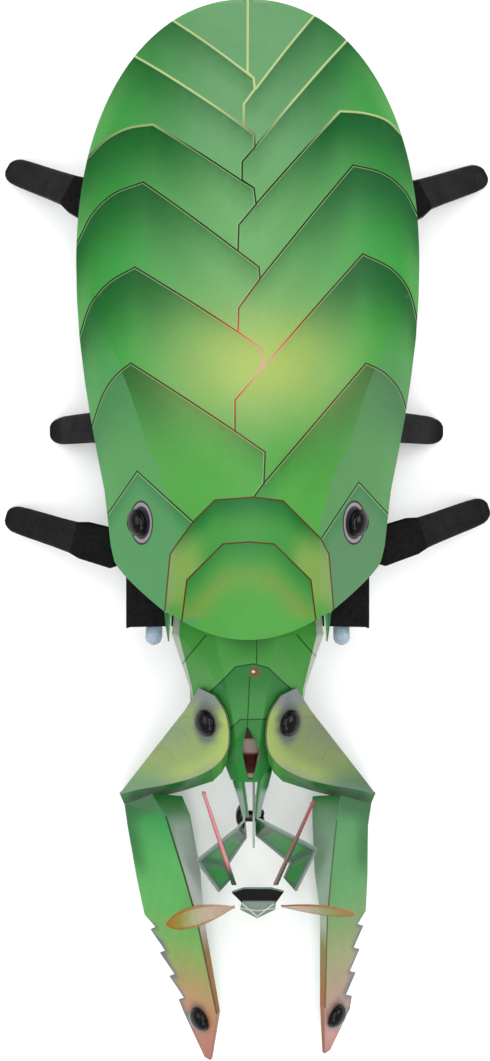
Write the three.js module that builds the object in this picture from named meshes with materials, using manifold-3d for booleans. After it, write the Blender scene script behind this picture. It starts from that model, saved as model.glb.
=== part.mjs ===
// Hexapod walking robot folded from plastic sheet in the form of a mantis.
// Millimetres. +Z up, the head looks towards -Y, origin under the middle of the robot on the floor.
import * as THREE from 'three';
import { mergeVertices } from 'three/addons/utils/BufferGeometryUtils.js';
import Module from 'manifold-3d';

const wasm = await Module();
wasm.setup();

// ---- driving dimensions ----
const SHEET = 0.6; // thickness of the folded plastic sheet
const GAP = 0.3; // clearance between pieces that touch
const FOLD_GAP = 1.2; // from the outer face of one sheet to the outer face of the sheet behind it
const TAB_GAP = 1.8; // the same for the eye tabs, which stay flat behind a curved panel

const SHELL_REAR = 139.8; // carapace: y of the rear edge
const SHELL_FRONT = -22.5; // y of the middle of the front edge
const SHELL_HALF_WIDTH = 43.2;
const SHELL_WIDEST = 72; // y of the widest place
const SHELL_ROUNDNESS = 2.15; // exponent of the rear outline
const SHELL_TIP = 1.5; // half width of the last row at the rear
const SHELL_CAMBER = 2.2; // exponent of the cross section
const CREASE_SHARE = 0.75; // share of a half row that lies inside the crease
const CREASE_END = 63; // y behind which the shell has no side panel
const FRONT_BOW = 6.9; // how far the front edge bows forward
const BOW_HALF_WIDTH = 20;

const EYE = { x: 27.4, y: 6.6 }; // carapace eye rivets
const SHOULDER = { x: 10.4, y: -44.2, z: 41 }; // arm pivots
const ARM_SLOPE = { x: 1.1, y: 0.25 }; // fall of the shoulder sheets outward and forward
const MOUTH = { x: 1.0, y: -70.9, z: 22 }; // mouth rivet, which lies across the head

const DOME_RADIUS = 3.5; // snap rivet
const DOME_HEIGHT = 2.4;
const DOME_LIP = 0.4; // upright edge under the dome
const STEM_RADIUS = 1.5;
const PRONG_RADIUS = 2.5;
const PRONG_DEPTH = 1.8;
const CUT_MARGIN = 0.01; // how far a cutting tool stands clear of the face it starts from

const DECK_TOP = 32.4; // top of the upper chassis plate
const DECK_BASE = 15; // top of the lower chassis plate
const PLATE = 1; // thickness of the chassis plates
const UPPER = { half: 20, near: -16, far: 96 }; // upper plate outline
const LOWER = { half: 20, near: -12, far: 92 }; // lower plate outline
const WINDOW = { y: 84, radius: 6 }; // round hole in the upper plate
const POST = { sizeX: 4, sizeY: 3, root: 0.5, xs: [-8, 8], ys: [-10, 88] };
const BRACKET = { inner: 14, outer: 31.4, near: -20.4, drop: 7.4 }; // eye bracket on the deck
const TAB = { inner: 23, outer: 29.6, near: 1.6, far: 11.6 }; // its tab behind the eye panel
const LENS = { x: 24.4, y: -23.2, z: 31 };

const HIP_HEIGHT = 21.5;
const HIP_X = 25; // distance of the swing pins off the centre line
const HIP_YS = [-3, 32, 82];
const HIP_PIN = { radius: 0.9, length: 11 };
const HIP_RAIL = { inner: 20.6, outer: 27.2, near: -7, far: 86 };
const LIFT_OFFSET = 5; // from the swing pin out to the lift pin
const LIFT_PIN_RADIUS = 0.5;
const LIFT_HOLE_RADIUS = 0.8;
const LEG_WIDTH = 8.4;
const LEG_SHEET = 0.9;

const MODULE = 0.4; // gear tooth size
const PINION_TEETH = 8;
const WHEEL_TEETH = 32;
const STEP_TEETH = 10;
const CRANK_TEETH = 36;
const TIP_RELIEF = 0.08; // how far the tooth tips stay inside the pitch circle
const TOOTH_HEIGHT = 1.6 * MODULE;
const MOTOR = { y: 2, z: 23.5, radius: 5, length: 11.5, start: 2.2 };
const SHAFT = { radius: 0.5, length: 4.6 };
const CRANK_THROW = 3.5;
const CRANK_PIN = { radius: 1.1, length: 3 };
const AXLE = 0.9; // radius of the gear axles
const GEAR_PLANE = 14.6; // distance of the gear plate off the centre line
const GEAR_PLATE = { thickness: 0.8, height: 13, margin: 9 };
const WHEEL_Y = MOTOR.y + (PINION_TEETH + WHEEL_TEETH) * MODULE / 2;
const CRANK_Y = WHEEL_Y + (STEP_TEETH + CRANK_TEETH) * MODULE / 2;

const HOUSING = {
  half: 11, near: 30, far: 74, low: DECK_BASE + GAP, high: DECK_TOP - PLATE - GAP, wall: 1.2,
};
const INLET = { x: -3.5, z: 20.5, sizeX: 9, sizeZ: 3.4, depth: 5.4, wall: 0.5 };
const BUTTON = { x: 6, z: 26, radius: 1.8 };
const BOARD = { sizeX: 16, sizeY: 36, sizeZ: 1, z: 28.4 };
const CELL = { sizeX: 15, sizeY: 30, sizeZ: 7, z: 20.4 };
const LED = { x: 2.6, y: 46.6 };

const RADIANS = Math.PI / 180;
const LEFT = -1;
const RIGHT = 1;

// ---- finishes: colour, roughness, metalness ----
const FINISHES = {
  shell: ['#3f9b45', 0.3, 0],
  arm: ['#4ba04a', 0.32, 0],
  clear: ['#4f9060', 0.15, 0],
  leaf: ['#d9a36c', 0.4, 0],
  feeler: ['#b8535a', 0.4, 0],
  black: ['#1b1b1d', 0.42, 0],
  rivet: ['#0c0d10', 0.15, 0],
  housing: ['#26282b', 0.6, 0],
  board: ['#1d5a36', 0.5, 0.1],
  cell: ['#9aa2ab', 0.45, 0.3],
  steel: ['#b9bcc0', 0.35, 1],
  gear: ['#e9e7df', 0.5, 0],
  brass: ['#c7a252', 0.35, 1],
  lens: ['#9fb4c6', 0.12, 0],
  amber: ['#ffb347', 0.2, 0],
};

const robot = new THREE.Group();

function addPiece(name, geometry, finish) {
  const [color, roughness, metalness] = FINISHES[finish];
  const mesh = new THREE.Mesh(geometry, new THREE.MeshStandardMaterial({ color, roughness, metalness }));
  mesh.name = name;
  robot.add(mesh);
}

// ---- solids ----
function toSolid(geometry) {
  const bare = geometry.clone();
  bare.deleteAttribute('normal');
  bare.deleteAttribute('uv');
  const merged = mergeVertices(bare, 1e-4);
  return new wasm.Manifold(new wasm.Mesh({
    numProp: 3,
    vertProperties: new Float32Array(merged.attributes.position.array),
    triVerts: new Uint32Array(merged.index.array),
  }));
}

function toGeometry(solid) {
  const mesh = solid.getMesh();
  const geometry = new THREE.BufferGeometry();
  const points = [];
  for (let i = 0; i < mesh.numVert; i += 1) {
    points.push(...mesh.vertProperties.slice(i * mesh.numProp, i * mesh.numProp + 3));
  }
  geometry.setAttribute('position', new THREE.Float32BufferAttribute(points, 3));
  geometry.setIndex([...mesh.triVerts]);
  return geometry;
}

function cut(geometry, ...tools) {
  let solid = toSolid(geometry);
  for (const tool of tools) solid = solid.subtract(toSolid(tool));
  return toGeometry(solid);
}

function join(geometry, ...others) {
  let solid = toSolid(geometry);
  for (const other of others) solid = solid.add(toSolid(other));
  return toGeometry(solid);
}

function box(sizeX, sizeY, sizeZ, x, y, z) {
  return new THREE.BoxGeometry(sizeX, sizeY, sizeZ).translate(x, y, z);
}

// a round bar whose middle is at a point and whose axis is a direction
function bar(radius, length, centre, axis, sides = 16) {
  const geometry = new THREE.CylinderGeometry(radius, radius, length, sides);
  return turned(geometry, axis).translate(centre.x, centre.y, centre.z);
}

// turns a shape made along +Y to a direction
function turned(geometry, axis) {
  const up = new THREE.Vector3(0, 1, 0);
  const turn = new THREE.Quaternion().setFromUnitVectors(up, axis.clone().normalize());
  return geometry.applyQuaternion(turn);
}

function vec(x, y, z) {
  return new THREE.Vector3(x, y, z);
}

// value at a position in a table of [position, value], running straight from row to row
function along(table, position) {
  if (position <= table[0][0]) return table[0][1];
  for (let i = 1; i < table.length; i += 1) {
    const [start, from] = table[i - 1];
    const [end, to] = table[i];
    if (position <= end) return THREE.MathUtils.lerp(from, to, (position - start) / (end - start));
  }
  return table[table.length - 1][1];
}

// direction that the front of a grid of points faces, at one of its points
function faceDirection(rows, row, column) {
  const last = rows.length - 1;
  const end = rows[0].length - 1;
  const across = rows[row][Math.min(column + 1, end)].clone().sub(rows[row][Math.max(column - 1, 0)]);
  const down = rows[Math.min(row + 1, last)][column].clone().sub(rows[Math.max(row - 1, 0)][column]);
  return across.cross(down).normalize();
}

// a sheet of even thickness whose front face passes through a grid of points
function sheet(rows, thickness = SHEET) {
  const back = rows.map((line, row) => line.map((point, column) => (
    point.clone().addScaledVector(faceDirection(rows, row, column), -thickness)
  )));
  const height = rows.length;
  const width = rows[0].length;
  const faces = [];
  const at = (layer, row, column) => (layer * height + row) * width + column;
  const quad = (a, b, c, d) => faces.push(a, b, c, a, c, d);
  for (let row = 0; row < height - 1; row += 1) {
    for (let column = 0; column < width - 1; column += 1) {
      quad(at(0, row, column), at(0, row, column + 1), at(0, row + 1, column + 1), at(0, row + 1, column));
      quad(at(1, row, column), at(1, row + 1, column), at(1, row + 1, column + 1), at(1, row, column + 1));
    }
    quad(at(0, row, 0), at(0, row + 1, 0), at(1, row + 1, 0), at(1, row, 0));
    quad(at(0, row, width - 1), at(1, row, width - 1), at(1, row + 1, width - 1), at(0, row + 1, width - 1));
  }
  for (let column = 0; column < width - 1; column += 1) {
    quad(at(0, 0, column), at(1, 0, column), at(1, 0, column + 1), at(0, 0, column + 1));
    const end = height - 1;
    quad(at(0, end, column), at(0, end, column + 1), at(1, end, column + 1), at(1, end, column));
  }
  const geometry = new THREE.BufferGeometry();
  const points = [...rows.flat(), ...back.flat()].flatMap((point) => [point.x, point.y, point.z]);
  geometry.setAttribute('position', new THREE.Float32BufferAttribute(points, 3));
  geometry.setIndex(faces);
  return geometry;
}

// a flat outline [x, y] lifted onto a sloping plane
function slopingPlate(outline, height, thickness) {
  const shape = new THREE.Shape(outline.map(([x, y]) => new THREE.Vector2(x, y)));
  const settings = { depth: thickness, bevelEnabled: false, curveSegments: 6 };
  const geometry = new THREE.ExtrudeGeometry(shape, settings);
  const points = geometry.attributes.position;
  for (let i = 0; i < points.count; i += 1) {
    const rise = height(points.getX(i), points.getY(i)) - thickness;
    points.setZ(i, points.getZ(i) + rise);
  }
  return geometry;
}

function extrudeUp(shape, depth, z) {
  const geometry = new THREE.ExtrudeGeometry(shape, { depth, bevelEnabled: false, curveSegments: 12 });
  return geometry.translate(0, 0, z);
}

function rectangle(left, right, near, far) {
  const shape = new THREE.Shape();
  shape.moveTo(left, near).lineTo(right, near).lineTo(right, far).lineTo(left, far).closePath();
  return shape;
}

// ---- snap rivet: a dome, a stem and a split back that holds a stack of sheets ----
function snapRivet(seat, axis, grip) {
  const outline = [
    [0, -grip - PRONG_DEPTH],
    [PRONG_RADIUS * 0.5, -grip - PRONG_DEPTH],
    [PRONG_RADIUS, -grip - PRONG_DEPTH * 0.7],
    [PRONG_RADIUS, -grip - GAP],
    [STEM_RADIUS, -grip - GAP],
    [STEM_RADIUS, GAP],
    [DOME_RADIUS, GAP],
  ];
  const domeSteps = 4;
  for (let i = 1; i <= domeSteps; i += 1) {
    const angle = i / domeSteps * Math.PI / 2;
    const height = GAP + DOME_LIP + (DOME_HEIGHT - DOME_LIP) * Math.sin(angle);
    outline.push([DOME_RADIUS * Math.cos(angle), height]);
  }
  outline[outline.length - 1][0] = 0;
  const profile = outline.map(([radius, height]) => new THREE.Vector2(radius, height));
  const body = new THREE.LatheGeometry(profile, 16);
  const slotDepth = PRONG_DEPTH * 0.8;
  const slotHeight = -grip - PRONG_DEPTH + slotDepth / 2 - CUT_MARGIN;
  const slotWidth = 0.8;
  const slots = [
    box(3 * PRONG_RADIUS, slotDepth, slotWidth, 0, slotHeight, 0),
    box(slotWidth, slotDepth, 3 * PRONG_RADIUS, 0, slotHeight, 0),
  ];
  return turned(cut(body, ...slots), axis).translate(seat.x, seat.y, seat.z);
}

function rivetHole(seat, axis) {
  const length = 14;
  return bar(STEM_RADIUS + GAP, length, seat, axis);
}

// ---- carapace ----
// tables of [y, value]
const CROWN = [
  [SHELL_FRONT, 52.5], [-10, 56.5], [12, 60.5], [35, 62.5], [60, 63], [85, 61], [105, 57], [125, 49],
  [SHELL_REAR, 41],
];
const CREASE_WIDTH = [
  [SHELL_FRONT, 19.6], [-10, 17.8], [0, 17.3], [8, 18], [20, 21.6], [24, 24.2], [38, 28.8], [52, 34.3],
  [CREASE_END, 41.6],
];
const CREASE_HEIGHT = [
  [SHELL_FRONT, 51], [-10, 54.5], [8, 57], [20, 57.5], [38, 55.5], [52, 51.5], [CREASE_END, 45.5],
];
const SIDE_WIDTH = [
  [SHELL_FRONT, 20.8], [-8.6, 31.6], [-4.5, 34.3], [0.9, 35.5], [15, 36.9], [24, 38.5], [33, 40],
  [42, 41.3], [53, 42.5], [63, 43.1], [SHELL_WIDEST, SHELL_HALF_WIDTH],
];
const SIDE_HEIGHT = [
  [SHELL_FRONT, 49.5], [-8.6, 36], [-4.5, 33], [0.9, 32], [15, 34.5], [33, 39.5], [53, 43],
  [SHELL_WIDEST, 45], [100, 44], [120, 42.3], [SHELL_REAR, 40.2],
];
const HEM = 0.6; // narrowest strip kept outside the crease

function shellHalfWidth(y) {
  if (y <= SHELL_WIDEST) return along(SIDE_WIDTH, y);
  const reach = Math.min(1, (y - SHELL_WIDEST) / (SHELL_REAR - SHELL_WIDEST));
  const round = (1 - reach ** SHELL_ROUNDNESS) ** (1 / SHELL_ROUNDNESS);
  return Math.max(SHELL_TIP, SHELL_HALF_WIDTH * round);
}

// point of the carapace's outer face: y of the row on the centre line, across from -1 to 1
function shellPoint(y, across) {
  const side = Math.sign(across);
  const share = Math.abs(across);
  const half = shellHalfWidth(y);
  const crease = Math.min(y > CREASE_END ? half : along(CREASE_WIDTH, y), half - HEM);
  const edgeHeight = along(SIDE_HEIGHT, y);
  const slope = (half - crease) / half;
  const creaseHeight = y > CREASE_END ? edgeHeight + slope : along(CREASE_HEIGHT, y);
  const inside = Math.min(share / CREASE_SHARE, 1);
  const outside = Math.max((share - CREASE_SHARE) / (1 - CREASE_SHARE), 0);
  const crown = along(CROWN, y);
  const x = crease * inside + (half - crease) * outside;
  const z = crown - (crown - creaseHeight) * inside ** SHELL_CAMBER + (edgeHeight - creaseHeight) * outside;
  const bow = y < 0 ? FRONT_BOW * (y / SHELL_FRONT) ** 1.5 : 0;
  return vec(side * x, y + bow * Math.min(x / BOW_HALF_WIDTH, 1) ** 2, z);
}

function shellRows() {
  const ys = [SHELL_FRONT, -18, -13, -8.6, -4.5, 0.9];
  for (let y = 8; y < SHELL_WIDEST; y += 8) ys.push(y);
  const rearSteps = 11;
  for (let i = 0; i <= rearSteps; i += 1) {
    const reach = Math.sin(i / rearSteps * Math.PI / 2);
    ys.push(SHELL_WIDEST + (SHELL_REAR - SHELL_WIDEST) * reach);
  }
  const steps = 10;
  return ys.map((y) => {
    const row = [];
    for (let i = -steps; i <= steps; i += 1) row.push(shellPoint(y, i / steps));
    return row;
  });
}

// seat and direction of an eye rivet on the carapace's side panel
function eyeSeat(side) {
  const crease = along(CREASE_WIDTH, EYE.y);
  const panelShare = (EYE.x - crease) / (shellHalfWidth(EYE.y) - crease);
  const share = CREASE_SHARE + (1 - CREASE_SHARE) * panelShare;
  const seat = shellPoint(EYE.y, side * share);
  const forward = shellPoint(EYE.y - 2, side * share).sub(seat);
  const outward = shellPoint(EYE.y, side * (share + 0.02)).sub(seat);
  const axis = forward.cross(outward).normalize();
  if (axis.z < 0) axis.negate();
  return { seat, axis };
}

function addCarapace() {
  const holes = [LEFT, RIGHT].map((side) => {
    const { seat, axis } = eyeSeat(side);
    return rivetHole(seat, axis);
  });
  addPiece('carapace', cut(sheet(shellRows()), ...holes), 'shell');
  for (const side of [LEFT, RIGHT]) {
    const { seat, axis } = eyeSeat(side);
    addPiece(`${sideName(side)}_eye_rivet`, snapRivet(seat, axis, TAB_GAP + SHEET), 'rivet');
  }
}

function sideName(side) {
  return side === LEFT ? 'left' : 'right';
}

// ---- neck: a folded cone from under the carapace to the mouth ----
// rows of [y, ridge half width, its height, fold half width, its height, flap half width, its height]
const NECK_ROWS = [
  [-11, 8, 51.2, 16.4, 46.5, 18.2, 36],
  [-22, 8, 50, 17.4, 43, 19.6, 34],
  [-36, 5, 47.2, 14.2, 37.1, 15, 32],
  [SHOULDER.y, 3.5, 46.8, 13.6, 35.7, 14, 31],
  [-48, 3, 46.4, 13, 35.4, 13.3, 31],
  [-54, 2.6, 41, 6.4, 35, 6.9, 29],
  [-60, 2.2, 36, 4.4, 31, 4.7, 26],
];

function neckSheet() {
  const rows = NECK_ROWS.map(([y, ridge, ridgeZ, fold, foldZ, flap, flapZ]) => {
    const half = [[flap, flapZ], [fold, foldZ], [ridge, ridgeZ]];
    const left = half.map(([x, z]) => vec(-x, y, z));
    const right = half.reverse().map(([x, z]) => vec(x, y, z));
    return [...left, ...right];
  });
  return sheet(rows.reverse());
}

function armAxis(side) {
  return vec(side * ARM_SLOPE.x, -ARM_SLOPE.y, 1).normalize();
}

function shoulderSeat(side) {
  return vec(side * SHOULDER.x, SHOULDER.y, SHOULDER.z);
}

function addNeck() {
  const holes = [LEFT, RIGHT].map((side) => rivetHole(shoulderSeat(side), armAxis(side)));
  addPiece('neck', cut(neckSheet(), ...holes), 'shell');
  for (const side of [LEFT, RIGHT]) {
    const rivet = snapRivet(shoulderSeat(side), armAxis(side), FOLD_GAP + SHEET);
    addPiece(`${sideName(side)}_shoulder_rivet`, rivet, 'rivet');
  }
}

// ---- claw arms: a leaf-shaped shoulder sheet and a folded forearm blade with teeth ----
// outline of a shoulder sheet, as distance outward and y
const SHOULDER_LEAF = [
  [12.4, -35.4], [8.4, -37], [5.8, -41], [4.8, -46], [5.4, -51], [8, -55], [12.6, -58.4], [18, -61],
  [24, -63.2], [29.5, -65], [35, -67.2], [25.7, -54.5], [16.2, -41.6],
];

function armHeight(side) {
  return (x, y) => (
    SHOULDER.z - ARM_SLOPE.x * (side * x - SHOULDER.x) + ARM_SLOPE.y * (y - SHOULDER.y)
  );
}

function shoulderSheet(side) {
  const outline = SHOULDER_LEAF.map(([out, y]) => [side * out, y]);
  if (side === RIGHT) outline.reverse();
  const thickness = SHEET * Math.hypot(ARM_SLOPE.x, ARM_SLOPE.y, 1);
  const leaf = slopingPlate(outline, armHeight(side), thickness);
  return cut(leaf, rivetHole(shoulderSeat(side), armAxis(side)));
}

// rows of a forearm: [toothed edge x, y, z], [ridge x, y, z], [inner edge x, y, z], as distances outward
const LEFT_BLADE = [
  [[33.6, -70.2, 6.4], [25.2, -65.2, 22.4], [17.6, -66.6, 15]],
  [[32.8, -76, 6.2], [21.8, -71, 22.4], [15.4, -72, 14]],
  [[30.4, -90, 5.6], [16.9, -87, 21.6], [12.7, -87, 14]],
  [[28.2, -100.6, 5], [13.6, -99, 20.8], [11.8, -98.4, 16]],
];
const RIGHT_BLADE = [
  [[33.8, -70, 6.4], [24.6, -65.4, 22.4], [17.4, -66.8, 15]],
  [[32.9, -76, 6.2], [23.4, -72, 22.4], [17.4, -73, 14]],
  [[32.8, -90, 5.6], [21.9, -87, 21.6], [18, -87, 14]],
  [[32.4, -99.6, 5], [21, -98.5, 20.8], [19.4, -98, 16]],
];
const TOOTH_COUNT = 4;
const TOOTH_PITCH = 6.4;
const TOOTH_START = 3; // from the end of the straight edge to the first notch
const TOOTH_STEP = 1; // from a notch to the point of its tooth
const TOOTH_DEPTH = 1.955;

// the claw end of a forearm: teeth along the outer edge, then a straight taper to the tip
function clawRows(start, tip) {
  const rows = [];
  const [edge, ridge, inner] = start;
  const mix = (from, to, share) => from.map((value, i) => THREE.MathUtils.lerp(value, to[i], share));
  const toTip = edge[1] - tip.edge[1];
  const panelSlope = (ridge[2] - edge[2]) / (edge[0] - ridge[0]);
  for (let i = 0; i < TOOTH_COUNT; i += 1) {
    const before = (TOOTH_START + i * TOOTH_PITCH) / toTip;
    const after = before + TOOTH_STEP / toTip;
    const onEdge = mix(edge, tip.edge, before);
    const notch = [onEdge[0] - TOOTH_DEPTH, onEdge[1], onEdge[2] + TOOTH_DEPTH * panelSlope];
    rows.push([notch, mix(ridge, tip.ridge, before), mix(inner, tip.inner, before)]);
    rows.push([mix(edge, tip.edge, after), mix(ridge, tip.ridge, after), mix(inner, tip.inner, after)]);
  }
  rows.push([tip.edge, tip.ridge, tip.inner]);
  rows.push([tip.edgeEnd, tip.ridgeEnd, tip.innerEnd]);
  return rows;
}

const LEFT_TIP = {
  edge: [17.4, -127.5, 5], ridge: [8.4, -124.5, 18], inner: [7.4, -124.2, 15.4],
  edgeEnd: [11.8, -139.5, 5.2], ridgeEnd: [10.2, -139.8, 7.4], innerEnd: [9.6, -139.6, 6.4],
};
const RIGHT_TIP = {
  edge: [28, -126.5, 5], ridge: [20.5, -122.8, 18], inner: [19.4, -122.6, 15.4],
  edgeEnd: [22.6, -137.7, 5.2], ridgeEnd: [21, -138, 7.4], innerEnd: [20.4, -137.8, 6.4],
};
const CLAW_RIVET = { left: [12.6, -127.3], right: [23.7, -126.4] };

function forearmRows(side) {
  const straight = side === LEFT ? LEFT_BLADE : RIGHT_BLADE;
  const claw = clawRows(straight[straight.length - 1], side === LEFT ? LEFT_TIP : RIGHT_TIP);
  return [...straight, ...claw].map((row) => {
    const points = row.map(([out, y, z]) => vec(side * out, y, z));
    return side === LEFT ? points : points.reverse();
  });
}

// seat and direction of the claw rivet, on the blade's outer panel
function clawSeat(side) {
  const tip = side === LEFT ? LEFT_TIP : RIGHT_TIP;
  const panel = [tip.edge, tip.ridge, tip.edgeEnd].map(([out, y, z]) => vec(side * out, y, z));
  const axis = panel[1].clone().sub(panel[0]).cross(panel[2].clone().sub(panel[0])).normalize();
  if (axis.z < 0) axis.negate();
  const [out, y] = CLAW_RIVET[sideName(side)];
  const away = vec(side * out, y, 0).sub(panel[0]);
  const z = panel[0].z - (axis.x * away.x + axis.y * away.y) / axis.z;
  return { seat: vec(side * out, y, z), axis };
}

function addArm(side) {
  const name = sideName(side);
  const { seat, axis } = clawSeat(side);
  addPiece(`${name}_shoulder`, shoulderSheet(side), 'arm');
  addPiece(`${name}_forearm`, cut(sheet(forearmRows(side).reverse()), rivetHole(seat, axis)), 'arm');
  addPiece(`${name}_claw_rivet`, snapRivet(seat, axis, SHEET), 'rivet');
}

// ---- head: link from the neck, two mandibles, face plate, leaf feelers and antennae ----
function mouthHole() {
  return rivetHole(vec(MOUTH.x, MOUTH.y, MOUTH.z), vec(1, 0, 0));
}

function addMouthLink() {
  const half = SHEET / 2;
  const top = [[-55, 29.5], [-62, 28.5], [-78.5, 27]];
  const low = [[-55, 19], [-62, 16.5], [-78.5, 17]];
  const link = sheet([top, low].map((edge) => edge.map(([y, z]) => vec(MOUTH.x + half, y, z))));
  addPiece('mouth_link', cut(link, mouthHole()), 'clear');
  const seat = vec(MOUTH.x - half - FOLD_GAP, MOUTH.y, MOUTH.z);
  addPiece('mouth_rivet', snapRivet(seat, vec(-1, 0, 0), 2 * FOLD_GAP + 1.2 * SHEET), 'rivet');
}

// rows of a mandible band: [top edge x, y, z], [low edge x, y, z], from the mouth rivet to the face
const LEFT_BAND = [
  [[-0.5, -66, 26], [-0.5, -66, 17.4]],
  [[-0.5, -74.6, 26.4], [-0.5, -77.4, 16.6]],
  [[-13.4, -82.6, 22.4], [-6, -85.6, 13.6]],
  [[-7.6, -91.4, 19.6], [-5.2, -88.6, 13]],
];
const RIGHT_BAND = [
  [[2, -66, 26], [2, -66, 17.4]],
  [[2, -73.6, 26.4], [2, -77, 16.6]],
  [[18, -79.6, 22.4], [10.8, -83.8, 13.6]],
  [[12.9, -91.2, 19.6], [10.4, -88.4, 13]],
];

function mandible(band) {
  const rows = band.map((row) => row.map(([x, y, z]) => vec(x, y, z)));
  return sheet(rows);
}

const FACE = { y: -92, z: 19, slope: 0.7, thickness: SHEET * 1.3 };
const FACE_OUTLINE = [
  [-4.2, -91.8], [-1.6, -94.8], [-2, -97], [2.6, -99.8], [7.4, -97], [7.6, -94.8], [9.6, -91.6],
  [6.2, -90.6], [-1, -90.6],
];

function addHead() {
  addMouthLink();
  addPiece('left_mandible', cut(mandible(LEFT_BAND), mouthHole()), 'clear');
  addPiece('right_mandible', cut(mandible(RIGHT_BAND), mouthHole()), 'clear');
  const faceHeight = (x, y) => FACE.z + FACE.slope * (y - FACE.y);
  addPiece('face_plate', slopingPlate(FACE_OUTLINE, faceHeight, FACE.thickness), 'clear');
  addPiece('left_feeler', leafFeeler(vec(-3.4, -95.6, 19), vec(-21.2, -97.6, 31), 2.8, 0), 'leaf');
  addPiece('right_feeler', leafFeeler(vec(9, -95.6, 19), vec(27.6, -95, 31), 2.6, 52), 'leaf');
  addPiece('left_antenna', antenna(vec(-3.6, -89.4, 21), vec(-11.4, -63, 34)), 'feeler');
  addPiece('right_antenna', antenna(vec(7.4, -89.4, 21), vec(16.9, -65.5, 34)), 'feeler');
}

// a pointed leaf between two points, turned about its own length by a roll angle
function leafFeeler(root, tip, halfWidth, roll) {
  const length = tip.clone().sub(root);
  const flat = vec(0, 1, 0).applyAxisAngle(length.clone().normalize(), roll * RADIANS);
  const rows = [];
  const steps = 8;
  const narrowest = 0.35;
  const tipward = 1.35; // moves the widest place away from the root
  const fullness = 0.8;
  for (let i = 0; i <= steps; i += 1) {
    const share = i / steps;
    const width = Math.max(narrowest, halfWidth * Math.sin(Math.PI * share ** tipward) ** fullness);
    const middle = root.clone().addScaledVector(length, share);
    rows.push([-1, 0, 1].map((way) => middle.clone().addScaledVector(flat, way * width)));
  }
  return sheet(rows, SHEET * 0.8);
}

function antenna(root, tip) {
  const length = tip.clone().sub(root);
  const rows = [];
  const steps = 6;
  const rootHalfWidth = 0.7;
  const tipHalfWidth = 0.4;
  for (let i = 0; i <= steps; i += 1) {
    const share = i / steps;
    const middle = root.clone().addScaledVector(length, share);
    const width = THREE.MathUtils.lerp(rootHalfWidth, tipHalfWidth, share);
    rows.push([middle.clone().add(vec(-width, 0, 0)), middle.clone().add(vec(width, 0, 0))]);
  }
  return sheet(rows, SHEET);
}

// ---- chassis ----
function addChassis() {
  const upper = rectangle(-UPPER.half, UPPER.half, UPPER.near, UPPER.far);
  const window = new THREE.Path();
  window.absarc(0, WINDOW.y, WINDOW.radius, 0, 2 * Math.PI, true);
  upper.holes.push(window);
  addPiece('upper_plate', extrudeUp(upper, PLATE, DECK_TOP - PLATE), 'black');
  addPiece('lower_plate', lowerPlate(), 'black');
  for (const side of [LEFT, RIGHT]) {
    addPiece(`${sideName(side)}_bracket`, eyeBracket(side), 'black');
    addPiece(`${sideName(side)}_lens`, sensorLens(side), 'lens');
  }
}

// lower plate with four posts that carry the upper plate
function lowerPlate() {
  const outline = rectangle(-LOWER.half, LOWER.half, LOWER.near, LOWER.far);
  const plate = extrudeUp(outline, PLATE, DECK_BASE - PLATE);
  const height = DECK_TOP - PLATE - GAP - DECK_BASE + POST.root;
  const middle = DECK_BASE - POST.root + height / 2;
  const { sizeX, sizeY, xs, ys } = POST;
  const posts = xs.flatMap((x) => ys.map((y) => box(sizeX, sizeY, height, x, y, middle)));
  return join(plate, ...posts);
}

// folded bracket: a plate on the deck, a flange at its outer edge and a tab behind the eye panel
function eyeBracket(side) {
  const { seat, axis } = eyeSeat(side);
  const height = tabHeight(side);
  const { inner, outer, near, far } = TAB;
  const tabOutline = [[outer, near], [outer, far], [inner, far], [inner, near]];
  const tab = slopingPlate(tabOutline.map(([out, y]) => [side * out, y]), height, SHEET / axis.z);
  const foot = bracketFoot(side);
  const base = DECK_TOP + GAP;
  const riserOut = outer - 0.5;
  const low = height(side * (riserOut + 0.1), 7);
  const length = far - near - SHEET;
  const riser = box(SHEET, length, low - base - 0.4, side * riserOut, 6.6, (low + base) / 2 - 0.1);
  return cut(join(foot, tab, riser), rivetHole(seat, axis));
}

// height of a bracket tab's top, even with the eye panel above it
function tabHeight(side) {
  const { seat, axis } = eyeSeat(side);
  const inward = TAB_GAP / axis.z;
  const slope = -side * axis.x / axis.z;
  const lean = -axis.y / axis.z;
  return (x, y) => seat.z - inward + slope * (side * x - EYE.x) + lean * (y - EYE.y);
}

// plate of a bracket on the deck, with the flange at its outer edge
function bracketFoot(side) {
  const { inner, outer, near, drop } = BRACKET;
  const base = DECK_TOP + GAP;
  const narrow = outer - 2;
  const outline = [[inner, -20], [outer, near], [outer, -5], [narrow, -1], [narrow, 13], [inner, 13]];
  const shape = new THREE.Shape(outline.map(([out, y]) => new THREE.Vector2(side * out, y)));
  const flange = box(SHEET, 8, drop, side * (outer - SHEET / 2), -16.6, base + SHEET - drop / 2);
  return join(extrudeUp(shape, SHEET, base), flange);
}

function sensorLens(side) {
  const profile = [[0, -3], [2.2, -3], [2.2, 0], [1.9, 0.9], [1.1, 1.6], [0, 1.9]];
  const lens = lathed(profile);
  return turned(lens, vec(0, -0.8, 0.6)).translate(side * LENS.x, LENS.y, LENS.z);
}

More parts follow.
